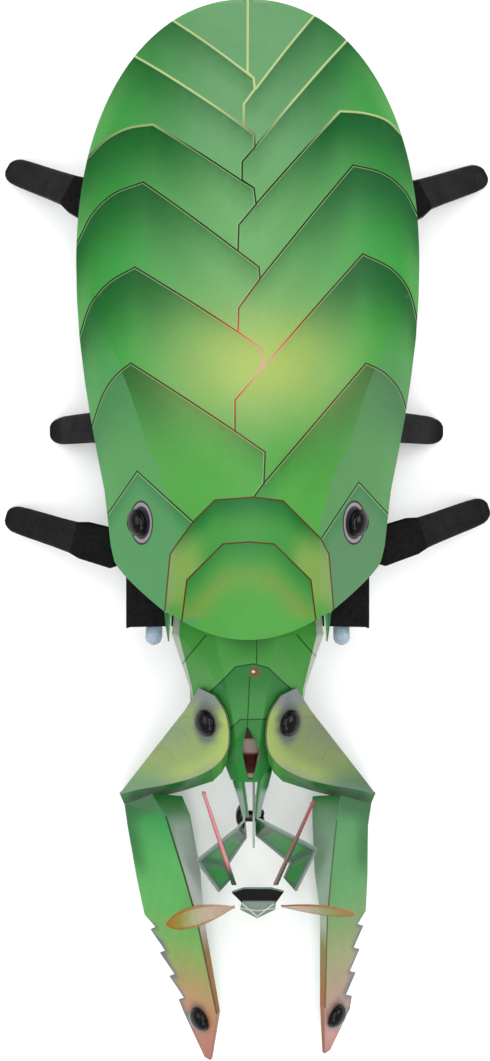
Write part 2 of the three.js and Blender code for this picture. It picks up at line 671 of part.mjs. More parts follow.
// ---- electronics ----
function addElectronics() {
  const middle = (HOUSING.near + HOUSING.far) / 2;
  addPiece('electronics_housing', housing(middle), 'housing');
  addPiece('circuit_board', box(BOARD.sizeX, BOARD.sizeY, BOARD.sizeZ, 0, middle - 2, BOARD.z), 'board');
  addPiece('battery_cell', roundedBlock(CELL.sizeX, CELL.sizeY, CELL.sizeZ, 0, middle - 5, CELL.z), 'cell');
  addPiece('usb_inlet', inletShell(), 'steel');
  const button = lathed([[0, -1.6], [3, -1.6], [3, -0.8], [1.8, -0.8], [1.8, 2.6], [1.4, 3], [0, 3]]);
  button.translate(BUTTON.x, HOUSING.far - HOUSING.wall - 1.1, BUTTON.z);
  addPiece('power_button', button, 'black');
  const led = lathed([[0, 0], [2.6, 0], [2.6, 0.8], [2.2, 0.8], [2.2, 2.6], [1.4, 4], [0, 4.6]]);
  led.rotateX(Math.PI / 2);
  addPiece('amber_led', led.translate(LED.x, LED.y, DECK_TOP + GAP), 'amber');
}

// tray open downward, with a slot for the inlet and a hole for the button in its rear wall
function housing(middle) {
  const { half, near, far, low, high, wall } = HOUSING;
  const height = high - low;
  const outer = box(2 * half, far - near, height, 0, middle, (low + high) / 2);
  const room = box(2 * (half - wall), far - near - 2 * wall, height, 0, middle, (low + high) / 2 - wall);
  const slotMargin = 2 * GAP;
  const slot = box(INLET.sizeX + slotMargin, 4 * wall, INLET.sizeZ + slotMargin, INLET.x, far, INLET.z);
  const buttonHole = bar(BUTTON.radius + GAP, 4 * wall, vec(BUTTON.x, far, BUTTON.z), vec(0, 1, 0));
  return cut(outer, room, slot, buttonHole);
}

// folded steel shell of the charging inlet, open to the rear
function inletShell() {
  const { x, z, sizeX, sizeZ, depth, wall } = INLET;
  const y = HOUSING.far - 1.2;
  const outer = box(sizeX, depth, sizeZ, x, y, z);
  return cut(outer, box(sizeX - 2 * wall, depth - 0.4, sizeZ - 2 * wall, x, y + 0.6, z));
}

function lathed(profile) {
  return new THREE.LatheGeometry(profile.map(([radius, height]) => new THREE.Vector2(radius, height)), 20);
}

function roundedBlock(sizeX, sizeY, sizeZ, x, y, z) {
  const round = sizeZ / 2 - 0.2;
  const shape = new THREE.Shape();
  const halfX = sizeX / 2;
  shape.absarc(halfX - round, 0, round, -Math.PI / 2, Math.PI / 2, false);
  shape.absarc(round - halfX, 0, round, Math.PI / 2, 1.5 * Math.PI, false);
  const block = new THREE.ExtrudeGeometry(shape, { depth: sizeY, bevelEnabled: false, curveSegments: 8 });
  return block.rotateX(Math.PI / 2).translate(x, y + sizeY / 2, z);
}

// ---- gear drive of one side ----
function gearGeometry(teeth, width, boreRadius) {
  const tip = teeth * MODULE / 2 - TIP_RELIEF;
  const root = tip - TOOTH_HEIGHT;
  const tooth = [[0, root], [0.32, tip], [0.6, tip]];
  const outline = [];
  for (let i = 0; i < teeth; i += 1) {
    for (const [offset, radius] of tooth) {
      const angle = (i + offset) / teeth * 2 * Math.PI;
      outline.push(new THREE.Vector2(radius * Math.cos(angle), radius * Math.sin(angle)));
    }
  }
  const shape = new THREE.Shape(outline);
  const bore = new THREE.Path();
  bore.absarc(0, 0, boreRadius, 0, 2 * Math.PI, true);
  shape.holes.push(bore);
  const gear = new THREE.ExtrudeGeometry(shape, { depth: width, bevelEnabled: false, curveSegments: 6 });
  return gear.rotateY(Math.PI / 2);
}

// places a shape whose width runs outward from a distance off the centre line
function outboard(geometry, side, distance, y, z) {
  const placed = geometry.clone();
  if (side === LEFT) placed.rotateY(Math.PI);
  return placed.translate(side * distance, y, z);
}

function addDrive(side) {
  const name = sideName(side);
  addPiece(`${name}_motor`, motor(side), 'steel');
  addPiece(`${name}_gear_plate`, gearPlate(side), 'housing');
  const pinion = gearGeometry(PINION_TEETH, 1.9, AXLE - 0.1);
  addPiece(`${name}_pinion`, outboard(pinion, side, GEAR_PLANE + 1, MOTOR.y, MOTOR.z), 'brass');
  const wheel = gearGeometry(WHEEL_TEETH, 1.6, AXLE + GAP);
  const step = gearGeometry(STEP_TEETH, 2, AXLE + GAP).translate(1.5, 0, 0);
  const doubleGear = join(wheel, step);
  addPiece(`${name}_double_gear`, outboard(doubleGear, side, GEAR_PLANE + 1, WHEEL_Y, MOTOR.z), 'gear');
  addPiece(`${name}_crank_gear`, outboard(crankGear(), side, GEAR_PLANE + 2.9, CRANK_Y, MOTOR.z), 'gear');
}

// motor can with its shaft
function motor(side) {
  const can = bar(MOTOR.radius, MOTOR.length, vec(MOTOR.length / 2, 0, 0), vec(1, 0, 0));
  const shaft = bar(SHAFT.radius, SHAFT.length, vec(MOTOR.length + 2.1, 0, 0), vec(1, 0, 0), 12);
  return outboard(join(can, shaft), side, MOTOR.start, MOTOR.y, MOTOR.z);
}

function crankGear() {
  const gear = gearGeometry(CRANK_TEETH, 1.5, AXLE + GAP);
  return join(gear, bar(CRANK_PIN.radius, CRANK_PIN.length, vec(2.4, 0, CRANK_THROW), vec(1, 0, 0), 16));
}

// plate beside the motor with the two fixed axles that the gears turn on
function gearPlate(side) {
  const { thickness, height, margin } = GEAR_PLATE;
  const length = CRANK_Y - MOTOR.y + 2 * margin;
  const plate = box(thickness, length, height, 0, (CRANK_Y + MOTOR.y) / 2, -0.2);
  const shaftHole = bar(AXLE, 4, vec(0, MOTOR.y, 0), vec(1, 0, 0), 12);
  const axles = [WHEEL_Y, CRANK_Y].map((y) => bar(AXLE, 5.2, vec(2.7, y, 0), vec(1, 0, 0), 12));
  return outboard(join(cut(plate, shaftHole), ...axles), side, GEAR_PLANE, 0, MOTOR.z);
}

// ---- legs ----
// y of the hip, heading in degrees back from straight out, reach of the foot and length of the shank
const LEGS = {
  left_front: { side: LEFT, y: HIP_YS[0], heading: 15.5, reach: 43.3, shank: 21 },
  left_middle: { side: LEFT, y: HIP_YS[1], heading: 0, reach: 29.6, shank: 16 },
  left_rear: { side: LEFT, y: HIP_YS[2], heading: 29, reach: 47.2, shank: 21 },
  right_front: { side: RIGHT, y: HIP_YS[0], heading: 18.5, reach: 43.9, shank: 21 },
  right_middle: { side: RIGHT, y: HIP_YS[1], heading: 0, reach: 29, shank: 16 },
  right_rear: { side: RIGHT, y: HIP_YS[2], heading: 27.5, reach: 46, shank: 21 },
};

function legFrame(leg) {
  const out = vec(leg.side * Math.cos(leg.heading * RADIANS), Math.sin(leg.heading * RADIANS), 0);
  const across = vec(0, 0, 1).cross(out);
  return { out, across, hip: vec(leg.side * HIP_X, leg.y, HIP_HEIGHT) };
}

// a leg is a channel folded from sheet: a thigh, a knee fold and a shank with a rounded foot
function legGeometry(leg) {
  const { out, across, hip } = legFrame(leg);
  const knee = leg.reach - leg.shank;
  // reach, height, share of the leg's width, share of the channel's depth
  const stations = [
    [LIFT_OFFSET + 2.6, HIP_HEIGHT + 1.4, 0.8, 1],
    [knee - 1.5, HIP_HEIGHT + 3.2, 1, 1],
    [knee + 1.5, HIP_HEIGHT + 2.2, 1, 1],
    [knee + leg.shank / 2, HIP_HEIGHT / 2 + 0.8, 0.96, 0.9],
    [leg.reach - 3.4, 4.6, 0.86, 0.7],
    [leg.reach - 1.2, 2, 0.7, 0.45],
    [leg.reach, 0.9, 0.4, 0.25],
  ];
  const section = [[-0.5, -2.4], [-0.34, -0.3], [0, 0.3], [0.34, -0.3], [0.5, -2.4]];
  const rows = stations.map(([reach, height, width, depth]) => section.map(([way, rise]) => {
    const point = hip.clone().addScaledVector(out, reach).addScaledVector(across, way * LEG_WIDTH * width);
    point.z = height + rise * depth;
    return point;
  }));
  const channel = sheet(rows, LEG_SHEET);
  channel.computeBoundingBox();
  return channel.translate(0, 0, -channel.boundingBox.min.z);
}

// ear of the leg that turns on the lift pin
function legWithEar(leg) {
  const { out, across, hip } = legFrame(leg);
  const channel = legGeometry(leg);
  const pin = hip.clone().addScaledVector(out, LIFT_OFFSET);
  const earRadius = 1.9;
  const earWidth = 3;
  const ear = bar(earRadius, earWidth, pin, across, 12);
  const web = new THREE.BoxGeometry(5, 2.4, 2.4);
  web.applyQuaternion(new THREE.Quaternion().setFromUnitVectors(vec(1, 0, 0), out));
  web.translate(pin.x + out.x * 2.6, pin.y + out.y * 2.6, pin.z + 0.2);
  return cut(join(channel, ear, web), bar(LIFT_HOLE_RADIUS, 8, pin, across, 12));
}

// hip link: a fork that swings on an upright pin and carries the lift pin across its outer end
function hipLink(leg) {
  const { out, across, hip } = legFrame(leg);
  const up = vec(0, 0, 1);
  const hub = bar(2.4, 6, hip, up, 12);
  const bridge = bar(2.9, 2.4, hip, up, 12);
  const cheekLength = LIFT_OFFSET + 1.4;
  const cheekOffset = 2.4;
  const cheeks = [-cheekOffset, cheekOffset].map((offset) => {
    const cheek = new THREE.BoxGeometry(cheekLength, 1, 3.2);
    cheek.applyQuaternion(new THREE.Quaternion().setFromUnitVectors(vec(1, 0, 0), out));
    const middle = hip.clone().addScaledVector(out, cheekLength / 2).addScaledVector(across, offset);
    return cheek.translate(middle.x, middle.y, middle.z);
  });
  const liftPin = bar(LIFT_PIN_RADIUS, 5.4, hip.clone().addScaledVector(out, LIFT_OFFSET), across, 8);
  return cut(join(hub, bridge, ...cheeks, liftPin), bar(HIP_PIN.radius + GAP, 12, hip, up, 12));
}

// hip rail: the strip with upright pins that the three hip links of a side swing on
function hipRail(side) {
  const { inner, outer, near, far } = HIP_RAIL;
  const edges = side === LEFT ? [-outer, -inner] : [inner, outer];
  const rail = extrudeUp(rectangle(...edges, near, far), PLATE, DECK_BASE - PLATE);
  const middle = DECK_BASE + HIP_PIN.length / 2 - PLATE / 2;
  const { radius, length } = HIP_PIN;
  const pins = HIP_YS.map((y) => bar(radius, length, vec(side * HIP_X, y, middle), vec(0, 0, 1), 12));
  return join(rail, ...pins);
}

function addLegs() {
  for (const [name, leg] of Object.entries(LEGS)) {
    addPiece(`${name}_hip`, hipLink(leg), 'black');
    addPiece(`${name}_leg`, legWithEar(leg), 'black');
  }
  for (const side of [LEFT, RIGHT]) addPiece(`${sideName(side)}_hip_rail`, hipRail(side), 'black');
}

addCarapace();
addNeck();
addArm(LEFT);
addArm(RIGHT);
addHead();
addChassis();
addElectronics();
addDrive(LEFT);
addDrive(RIGHT);
addLegs();

export default robot;
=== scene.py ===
import math

import bmesh
import bpy
import numpy as np
from mathutils import Matrix, Vector
from mathutils.geometry import delaunay_2d_cdt


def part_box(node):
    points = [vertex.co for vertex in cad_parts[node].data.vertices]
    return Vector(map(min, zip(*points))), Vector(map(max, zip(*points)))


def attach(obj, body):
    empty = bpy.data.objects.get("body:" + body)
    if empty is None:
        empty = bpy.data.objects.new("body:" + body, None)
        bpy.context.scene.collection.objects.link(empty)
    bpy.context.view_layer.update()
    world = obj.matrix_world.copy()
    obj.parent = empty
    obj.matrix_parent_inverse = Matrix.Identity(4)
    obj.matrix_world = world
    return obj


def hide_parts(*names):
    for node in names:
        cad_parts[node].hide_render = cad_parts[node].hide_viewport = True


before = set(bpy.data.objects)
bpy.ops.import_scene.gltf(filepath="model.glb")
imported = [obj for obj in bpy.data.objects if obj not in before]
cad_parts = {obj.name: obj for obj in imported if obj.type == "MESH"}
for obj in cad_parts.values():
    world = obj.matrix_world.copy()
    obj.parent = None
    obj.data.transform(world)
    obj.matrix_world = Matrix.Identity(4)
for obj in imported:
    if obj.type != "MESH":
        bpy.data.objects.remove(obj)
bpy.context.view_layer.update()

MM = 0.001
SHEET = 0.6  # thickness of the folded plastic sheet
LEFT = -1
RIGHT = 1
SIDES = {"left": LEFT, "right": RIGHT}


def corner_mm(node):
    """Lowest and highest corner of a CAD node in millimetres."""
    low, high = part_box(node)
    return low / MM, high / MM


# ---------------------------------------------------------------- camera, light and floor
CAMERA_HEIGHT = 500
FLOOR_VIEW_HEIGHT = 293.5  # length of floor that the picture takes in
WORLD_STRENGTH = 0.72


def add_camera():
    data = bpy.data.cameras.new("camera")
    data.sensor_fit = "VERTICAL"
    data.sensor_height = 24
    data.lens = data.sensor_height * CAMERA_HEIGHT / FLOOR_VIEW_HEIGHT
    data.clip_start = 0.01
    camera = bpy.data.objects.new("camera", data)
    camera.location = Vector((-0.7, 4.6, CAMERA_HEIGHT)) * MM
    bpy.context.scene.collection.objects.link(camera)
    bpy.context.scene.camera = camera


def add_area_light(name, place, target, size, power):
    data = bpy.data.lights.new(name, "AREA")
    data.shape = "RECTANGLE"
    data.size, data.size_y = size
    data.energy = power
    light = bpy.data.objects.new(name, data)
    light.location = Vector(place)
    light.rotation_euler = (Vector(target) - Vector(place)).to_track_quat("-Z", "Y").to_euler()
    bpy.context.scene.collection.objects.link(light)


def add_studio():
    bpy.context.scene.view_settings.view_transform = "Standard"
    world = bpy.data.worlds.new("studio")
    bpy.context.scene.world = world
    world.use_nodes = True
    background = world.node_tree.nodes["Background"]
    background.inputs["Color"].default_value = (1, 1, 1, 1)
    background.inputs["Strength"].default_value = WORLD_STRENGTH
    middle = (0, 0.03, 0.04)
    add_area_light("left_soft_box", (-0.75, 0.15, 0.75), middle, (0.9, 0.7), 4)
    add_area_light("right_soft_box", (0.8, 0.25, 0.7), middle, (0.7, 0.6), 4)
    add_area_light("overhead_strip", (0.012, 0.05, 1.3), (0.012, 0.05, 0), (0.36, 1.4), 7)
    add_area_light("head_soft_box", (0.1, -0.9, 0.9), middle, (0.8, 0.5), 3)
    bpy.ops.mesh.primitive_plane_add(size=6, location=(0, 0, 0))
    floor = bpy.context.object
    floor.name = "floor"
    floor.data.materials.append(plain_material("floor_paint", "#fbfbfc", 0.7, grain=0.01, scale=40))


# ---------------------------------------------------------------- colour
def linear(hex_colour):
    """Linear RGB of an sRGB hex colour."""
    values = [int(hex_colour[i:i + 2], 16) / 255 for i in (1, 3, 5)]
    return np.array([v / 12.92 if v <= 0.04045 else ((v + 0.055) / 1.055) ** 2.4 for v in values])


INK_DEPTH = 0.62  # ink takes up this much more light than its colour says, as the studio is bright
VEIL = 0.012  # pale light that the gloss adds


def printed(hex_colour):
    """Ink that looks like an sRGB hex colour in the studio light."""
    return np.maximum(linear(hex_colour) - VEIL, 0) * INK_DEPTH


def mix(a, b, share):
    return a + (b - a) * min(max(share, 0.0), 1.0)


def ease(low, high, value):
    """0 below low, 1 above high and a smooth step between."""
    share = min(max((value - low) / (high - low), 0.0), 1.0)
    return share * share * (3 - 2 * share)


# ---------------------------------------------------------------- materials
def new_material(name):
    material = bpy.data.materials.new(name)
    material.use_nodes = True
    tree = material.node_tree
    return material, tree, tree.nodes["Principled BSDF"]


def link(tree, source, output, target, socket):
    tree.links.new(source.outputs[output], target.inputs[socket])


def object_noise(tree, scale, detail=3.0, roughness=0.6):
    """Noise in object space, whose scale is in features per metre."""
    coordinates = tree.nodes.new("ShaderNodeTexCoord")
    noise = tree.nodes.new("ShaderNodeTexNoise")
    noise.inputs["Scale"].default_value = scale
    noise.inputs["Detail"].default_value = detail
    noise.inputs["Roughness"].default_value = roughness
    link(tree, coordinates, "Object", noise, "Vector")
    return noise


def map_range(tree, source, output, low, high):
    node = tree.nodes.new("ShaderNodeMapRange")
    node.inputs["From Min"].default_value = 0.3
    node.inputs["From Max"].default_value = 0.7
    node.inputs["To Min"].default_value = low
    node.inputs["To Max"].default_value = high
    link(tree, source, output, node, "Value")
    return node


def add_bump(tree, shader, noise, strength, distance):
    bump = tree.nodes.new("ShaderNodeBump")
    bump.inputs["Strength"].default_value = strength
    bump.inputs["Distance"].default_value = distance
    link(tree, noise, "Fac", bump, "Height")
    link(tree, bump, "Normal", shader, "Normal")


def print_material(name, roughness=0.36, coat=0.02, alpha=False, specular=0.16):
    """Ink printed on smooth plastic sheet: the colour comes from the mesh, with a fine print grain."""
    material, tree, shader = new_material(name)
    ink = tree.nodes.new("ShaderNodeVertexColor")
    ink.layer_name = "Ink"
    grain = object_noise(tree, 2600, 2.0)
    cloud = object_noise(tree, 90, 3.0)
    grain_level = map_range(tree, grain, "Fac", 0.95, 1.05)
    cloud_level = map_range(tree, cloud, "Fac", 0.965, 1.035)
    product = tree.nodes.new("ShaderNodeMath")
    product.operation = "MULTIPLY"
    link(tree, grain_level, "Result", product, 0)
    link(tree, cloud_level, "Result", product, 1)
    tinted = tree.nodes.new("ShaderNodeVectorMath")
    tinted.operation = "SCALE"
    link(tree, ink, "Color", tinted, 0)
    link(tree, product, "Value", tinted, "Scale")
    link(tree, tinted, "Vector", shader, "Base Color")
    rough = map_range(tree, cloud, "Fac", roughness - 0.05, roughness + 0.06)
    link(tree, rough, "Result", shader, "Roughness")
    shader.inputs["Specular IOR Level"].default_value = specular
    shader.inputs["Coat Weight"].default_value = coat
    shader.inputs["Coat Roughness"].default_value = 0.12
    add_bump(tree, shader, object_noise(tree, 900, 2.0), 0.05, 0.0001)
    if alpha:
        link(tree, ink, "Alpha", shader, "Alpha")
    return material


def plain_material(name, colour, roughness, metallic=0.0, coat=0.0, grain=0.06, scale=900, bump=0.1,
                   transmission=0.0, emission=0.0, specular=0.5):
    """A moulded, cut or turned surface with uneven gloss and fine grain in its colour."""
    material, tree, shader = new_material(name)
    noise = object_noise(tree, scale)
    ramp = tree.nodes.new("ShaderNodeValToRGB")
    base = linear(colour)
    for element, level in zip(ramp.color_ramp.elements, (1 - 2 * grain, 1 + 2 * grain)):
        element.color = (*np.clip(base * level + (level - 1) * 0.01, 0, 1), 1)
    ramp.color_ramp.elements[0].position = 0.35
    ramp.color_ramp.elements[1].position = 0.65
    link(tree, noise, "Fac", ramp, "Fac")
    link(tree, ramp, "Color", shader, "Base Color")
    rough = map_range(tree, object_noise(tree, scale / 5), "Fac", roughness * 0.85,
                      min(1, roughness * 1.15))
    link(tree, rough, "Result", shader, "Roughness")
    shader.inputs["Metallic"].default_value = metallic
    shader.inputs["Specular IOR Level"].default_value = specular
    shader.inputs["Coat Weight"].default_value = coat
    shader.inputs["Transmission Weight"].default_value = transmission
    if emission:
        shader.inputs["Emission Color"].default_value = (*base, 1)
        shader.inputs["Emission Strength"].default_value = emission
    add_bump(tree, shader, noise, bump, 0.00015)
    return material


# ---------------------------------------------------------------- meshes
def link_object(name, mesh):
    piece = bpy.data.objects.new(name, mesh)
    bpy.context.scene.collection.objects.link(piece)
    return piece


def settle(piece, body, slot, *nodes):
    """Gives a piece its body and hides the CAD nodes that it stands for; slot is not used."""
    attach(piece, body)
    if nodes:
        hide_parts(*nodes)
    return piece


def sheet_mesh(name, points, faces, normals, paint, materials, thickness=SHEET, fold_angle=14):
    """Closed sheet: points and outward normals of its face in mm, faces, and a colour for each face corner.

    The slots are the printed face, the plain back and the cut edge.
    """
    count = len(points)
    back = points - normals * thickness
    edges = {}
    for face in faces:
        for a, b in zip(face, face[1:] + face[:1]):
            edges[(a, b)] = edges.get((a, b), 0) + 1
    rim = [(a, b) for a, b in edges if (b, a) not in edges]
    all_faces = [tuple(face) for face in faces]
    all_faces += [tuple(count + i for i in reversed(face)) for face in faces]
    all_faces += [(b, a, count + a, count + b) for a, b in rim]
    mesh = bpy.data.meshes.new(name)
    mesh.from_pydata((np.vstack([points, back]) * MM).tolist(), [], all_faces)
    for material in materials:
        mesh.materials.append(material)
    ink = mesh.color_attributes.new("Ink", "FLOAT_COLOR", "CORNER")
    for polygon, face in zip(mesh.polygons, all_faces):
        index = polygon.index
        if index < len(faces):
            polygon.material_index = 0
            middle = points[list(face)].mean(0)
            for loop, corner in zip(polygon.loop_indices, face):
                near = points[corner] + (middle - points[corner]) * 0.04
                ink.data[loop].color = paint(near[0], near[1], near[2], middle)
        else:
            polygon.material_index = 1 if index < 2 * len(faces) else 2
    mesh.validate()
    mesh.update()
    for polygon in mesh.polygons:
        polygon.use_smooth = True
    mesh.set_sharp_from_angle(angle=math.radians(fold_angle))
    return link_object(name, mesh)


def opaque(colour):
    return (*colour, 1.0)


# ---- polylines in plan
def subdivide(path, step):
    """The same polyline with no stretch longer than step."""
    fine = [path[0]]
    for start, end in zip(path, path[1:]):
        pieces = max(1, math.ceil(math.dist(start, end) / step))
        fine += [tuple(np.array(start) + (np.array(end) - np.array(start)) * i / pieces)
                 for i in range(1, pieces + 1)]
    return fine


def smooth_path(path, steps=8):
    """Catmull-Rom curve through the points of a path."""
    points = [np.array(p, float) for p in path]
    points = [2 * points[0] - points[1]] + points + [2 * points[-1] - points[-2]]
    fine = []
    for a, b, c, d in zip(points, points[1:], points[2:], points[3:]):
        for i in range(steps):
            t = i / steps
            fine.append(tuple(0.5 * (2 * b + (c - a) * t + (2 * a - 5 * b + 4 * c - d) * t * t
                                     + (3 * b - a - 3 * c + d) * t ** 3)))
    fine.append(tuple(points[-2]))
    return fine


def ellipse(centre, radius_x, radius_y, count=40):
    return [(centre[0] + radius_x * math.cos(2 * math.pi * i / count),
             centre[1] + radius_y * math.sin(2 * math.pi * i / count)) for i in range(count)]


def offset_path(path, distance):
    """A path moved sideways, with mitred corners."""
    points = [np.array(p, float) for p in path]
    moved = []
    for i, point in enumerate(points):
        ways = []
        if i > 0:
            ways.append(point - points[i - 1])
        if i < len(points) - 1:
            ways.append(points[i + 1] - point)
        sides = [np.array((-w[1], w[0])) / max(np.linalg.norm(w), 1e-9) for w in ways]
        side = sum(sides) / len(sides)
        moved.append(tuple(point + side * distance / max(side @ side, 0.35)))
    return moved


def distance_to_path(places, path):
    """Distance from each place to the nearest point of a polyline."""
    nearest = np.full(len(places), 1e9)
    for start, end in zip(path, path[1:]):
        a, b = np.array(start, float), np.array(end, float)
        way = b - a
        share = np.clip(((places - a) @ way) / max(way @ way, 1e-12), 0, 1)
        nearest = np.minimum(nearest, np.linalg.norm(places - (a + share[:, None] * way), axis=1))
    return nearest


def inside(outline, x, y):
    hit = False
    for (x0, y0), (x1, y1) in zip(outline, outline[1:] + outline[:1]):
        if (y0 > y) != (y1 > y) and x < (x1 - x0) * (y - y0) / (y1 - y0) + x0:
            hit = not hit
    return hit


def value_on(path, x):
    """y of a polyline that runs steadily along x, held level past its ends."""
    if (x - path[0][0]) * (path[-1][0] - path[0][0]) <= 0:
        return path[0][1]
    for (x0, y0), (x1, y1) in zip(path, path[1:]):
        if min(x0, x1) <= x <= max(x0, x1) and x0 != x1:
            return y0 + (y1 - y0) * (x - x0) / (x1 - x0)
    return path[-1][1]


def printed_sheet(name, outline, height, paint, materials, strips=(), rings=(), holes=(), folds=(),
                  grid=2.2, thickness=SHEET, fold_angle=14):
    """A sheet over a plan outline, meshed so that printed lines and folds have crisp edges.

    strips are (path, width) lines of ink, rings are closed paths, folds are creases, holes are left open.
    paint(x, y, z, line) gives the colour, where line is the number of the strip underfoot, or -1.
    """
    places, edges = [], []

    def add_loop(path, closed):
        start = len(places)
        places.extend(path)
        last = len(path) if closed else len(path) - 1
        edges.extend((start + i, start + (i + 1) % len(path)) for i in range(last))

    rows = [(outline, True)] + [(ring, True) for ring in (*rings, *holes)]
    rows += [(fold, False) for fold in folds]
    for path, width in strips:
        rows += [(offset_path(path, way * width / 2), False) for way in (-1, 1)]
    for path, closed in rows:
        add_loop(path, closed)
    xs, ys = [p[0] for p in outline], [p[1] for p in outline]
    mesh_places = []
    y = min(ys) + grid / 2
    odd = False
    while y < max(ys):
        x = min(xs) + grid * (0.25 if odd else 0.75)
        while x < max(xs):
            if inside(outline, x, y):
                mesh_places.append((x, y))
            x += grid
        y += grid * 0.86
        odd = not odd
    mesh_places = np.array(mesh_places)
    clear = np.ones(len(mesh_places), bool)
    for path, closed in rows:
        loop = path + path[:1] if closed else path
        clear &= distance_to_path(mesh_places, loop) > grid * 0.35
    places.extend(map(tuple, mesh_places[clear]))
    verts, _, triangles, _, _, _ = delaunay_2d_cdt([Vector(p) for p in places], edges, [], 0, 1e-5)
    flat = np.array([(v.x, v.y) for v in verts])
    middles = np.array([flat[list(t)].mean(0) for t in triangles])
    keep = [inside(outline, *m) and not any(inside(hole, *m) for hole in holes) for m in middles]
    faces = [list(t) for t, kept in zip(triangles, keep) if kept]
    middles = middles[keep]
    underfoot = np.full(len(middles), -1)
    for number, (path, width) in enumerate(strips):
        underfoot[distance_to_path(middles, path) < width * 0.52] = number
    used = sorted({i for face in faces for i in face})
    order = {old: new for new, old in enumerate(used)}
    faces = [[order[i] for i in face] for face in faces]
    flat = flat[used]
    points = np.array([(x, y, height(x, y)) for x, y in flat])
    faces = [f if turn(points, f) > 0 else f[::-1] for f in faces]
    normals = np.array([surface_normal(height, x, y) for x, y in flat])
    strip_at = {tuple(np.round(m, 5)): int(n) for m, n in zip(middles, underfoot)}

    def paint_corner(x, y, z, middle):
        return paint(x, y, z, strip_at.get(tuple(np.round(middle[:2], 5)), -1))

    return sheet_mesh(name, points, faces, normals, paint_corner, materials, thickness, fold_angle)


def turn(points, face):
    a, b, c = (points[i][:2] for i in face[:3])
    return (b[0] - a[0]) * (c[1] - a[1]) - (b[1] - a[1]) * (c[0] - a[0])


def surface_normal(height, x, y, step=0.2):
    slope_x = (height(x + step, y) - height(x - step, y)) / (2 * step)
    slope_y = (height(x, y + step) - height(x, y - step)) / (2 * step)
    normal = np.array((-slope_x, -slope_y, 1.0))
    return normal / np.linalg.norm(normal)


# ---------------------------------------------------------------- carapace shape
SHELL_LOW, SHELL_HIGH = corner_mm("carapace")
SHELL_FRONT = SHELL_LOW.y
SHELL_REAR = SHELL_HIGH.y
SHELL_HALF_WIDTH = SHELL_HIGH.x
SHELL_WIDEST = 72
SHELL_ROUNDNESS = 2.15
SHELL_TIP = 1.5
SHELL_CAMBER = 2.2
FRONT_BOW = 6.9
CREASE_START = 63  # y where the side crease leaves the edge
BOW_HALF_WIDTH = 20  # half width over which the front edge bows
HEM = 0.6
CROWN = [(SHELL_FRONT, 52.5), (-10, 56.5), (12, 60.5), (35, 62.5), (60, 63), (85, 61), (105, 57), (125, 49),
         (SHELL_REAR, 41)]
CREASE_WIDTH = [(SHELL_FRONT, 19.6), (-10, 17.8), (0, 17.3), (8, 18), (20, 21.6), (24, 24.2), (38, 28.8),
                (52, 34.3), (63, 41.6)]
CREASE_HEIGHT = [(SHELL_FRONT, 51), (-10, 54.5), (8, 57), (20, 57.5), (38, 55.5), (52, 51.5), (63, 45.5)]
SIDE_WIDTH = [(SHELL_FRONT, 20.8), (-8.6, 31.6), (-4.5, 34.3), (0.9, 35.5), (15, 36.9), (24, 38.5),
              (33, 40),
              (42, 41.3), (53, 42.5), (63, 43.1), (SHELL_WIDEST, SHELL_HALF_WIDTH)]
SIDE_HEIGHT = [(SHELL_FRONT, 49.5), (-8.6, 36), (-4.5, 33), (0.9, 32), (15, 34.5), (33, 39.5), (53, 43),
               (SHELL_WIDEST, 45), (100, 44), (120, 42.3), (SHELL_REAR, 40.2)]


def smooth_table(table, smoothness=3.0):
    """A table of (position, value) as a function, with its corners rounded."""
    positions, values = zip(*table)

    def at(position):
        spots = position + np.array((-1, -0.5, 0, 0.5, 1)) * smoothness
        return float(np.interp(spots, positions, values) @ (0.125, 0.25, 0.25, 0.25, 0.125))

    return at


crown_at = smooth_table(CROWN)
crease_width_at = smooth_table(CREASE_WIDTH, 1.5)
crease_height_at = smooth_table(CREASE_HEIGHT, 2.5)
side_height_at = smooth_table(SIDE_HEIGHT, 1.5)


def side_width_at(y):
    return float(np.interp(y, *zip(*SIDE_WIDTH)))


def shell_half_width(y):
    if y <= SHELL_WIDEST:
        return side_width_at(y)
    reach = min(1.0, (y - SHELL_WIDEST) / (SHELL_REAR - SHELL_WIDEST))
    return max(SHELL_TIP, SHELL_HALF_WIDTH * (1 - reach ** SHELL_ROUNDNESS) ** (1 / SHELL_ROUNDNESS))


def front_bow(row):
    return FRONT_BOW * (row / SHELL_FRONT) ** 1.5 if row < 0 else 0.0


def shell_height(x, y):
    """Height of the carapace's outer face over a point in plan."""
    row = y
    for _ in range(5):
        row = y - front_bow(row) * min(abs(x) / BOW_HALF_WIDTH, 1) ** 2
    half = shell_half_width(row)
    edge = side_height_at(row)
    if row > CREASE_START:
        crease = half - HEM
        crease_height = edge + (half - crease) / half
    else:
        crease = min(crease_width_at(row), half - HEM)
        crease_height = crease_height_at(row)
    crown = crown_at(row)
    across = abs(x)
    if across <= crease:
        return crown - (crown - crease_height) * (across / crease) ** SHELL_CAMBER
    return crease_height + (edge - crease_height) * (across - crease) / (half - crease)


def shell_outline():
    ys = list(np.linspace(SHELL_FRONT, SHELL_WIDEST, 62))
    rear_steps = 40
    for i in range(1, rear_steps + 1):
        ys.append(SHELL_WIDEST + (SHELL_REAR - SHELL_WIDEST) * math.sin(i / rear_steps * math.pi / 2))
    right = [(shell_half_width(y), y + front_bow(y) * min(shell_half_width(y) / BOW_HALF_WIDTH, 1) ** 2)
             for y in ys]
    left = [(-x, y) for x, y in reversed(right)]
    corner = right[0][0]
    front = [(x, SHELL_FRONT + FRONT_BOW * min(abs(x) / BOW_HALF_WIDTH, 1) ** 2)
             for x in np.linspace(-corner, corner, 25)]
    return right + left + front[1:-1]


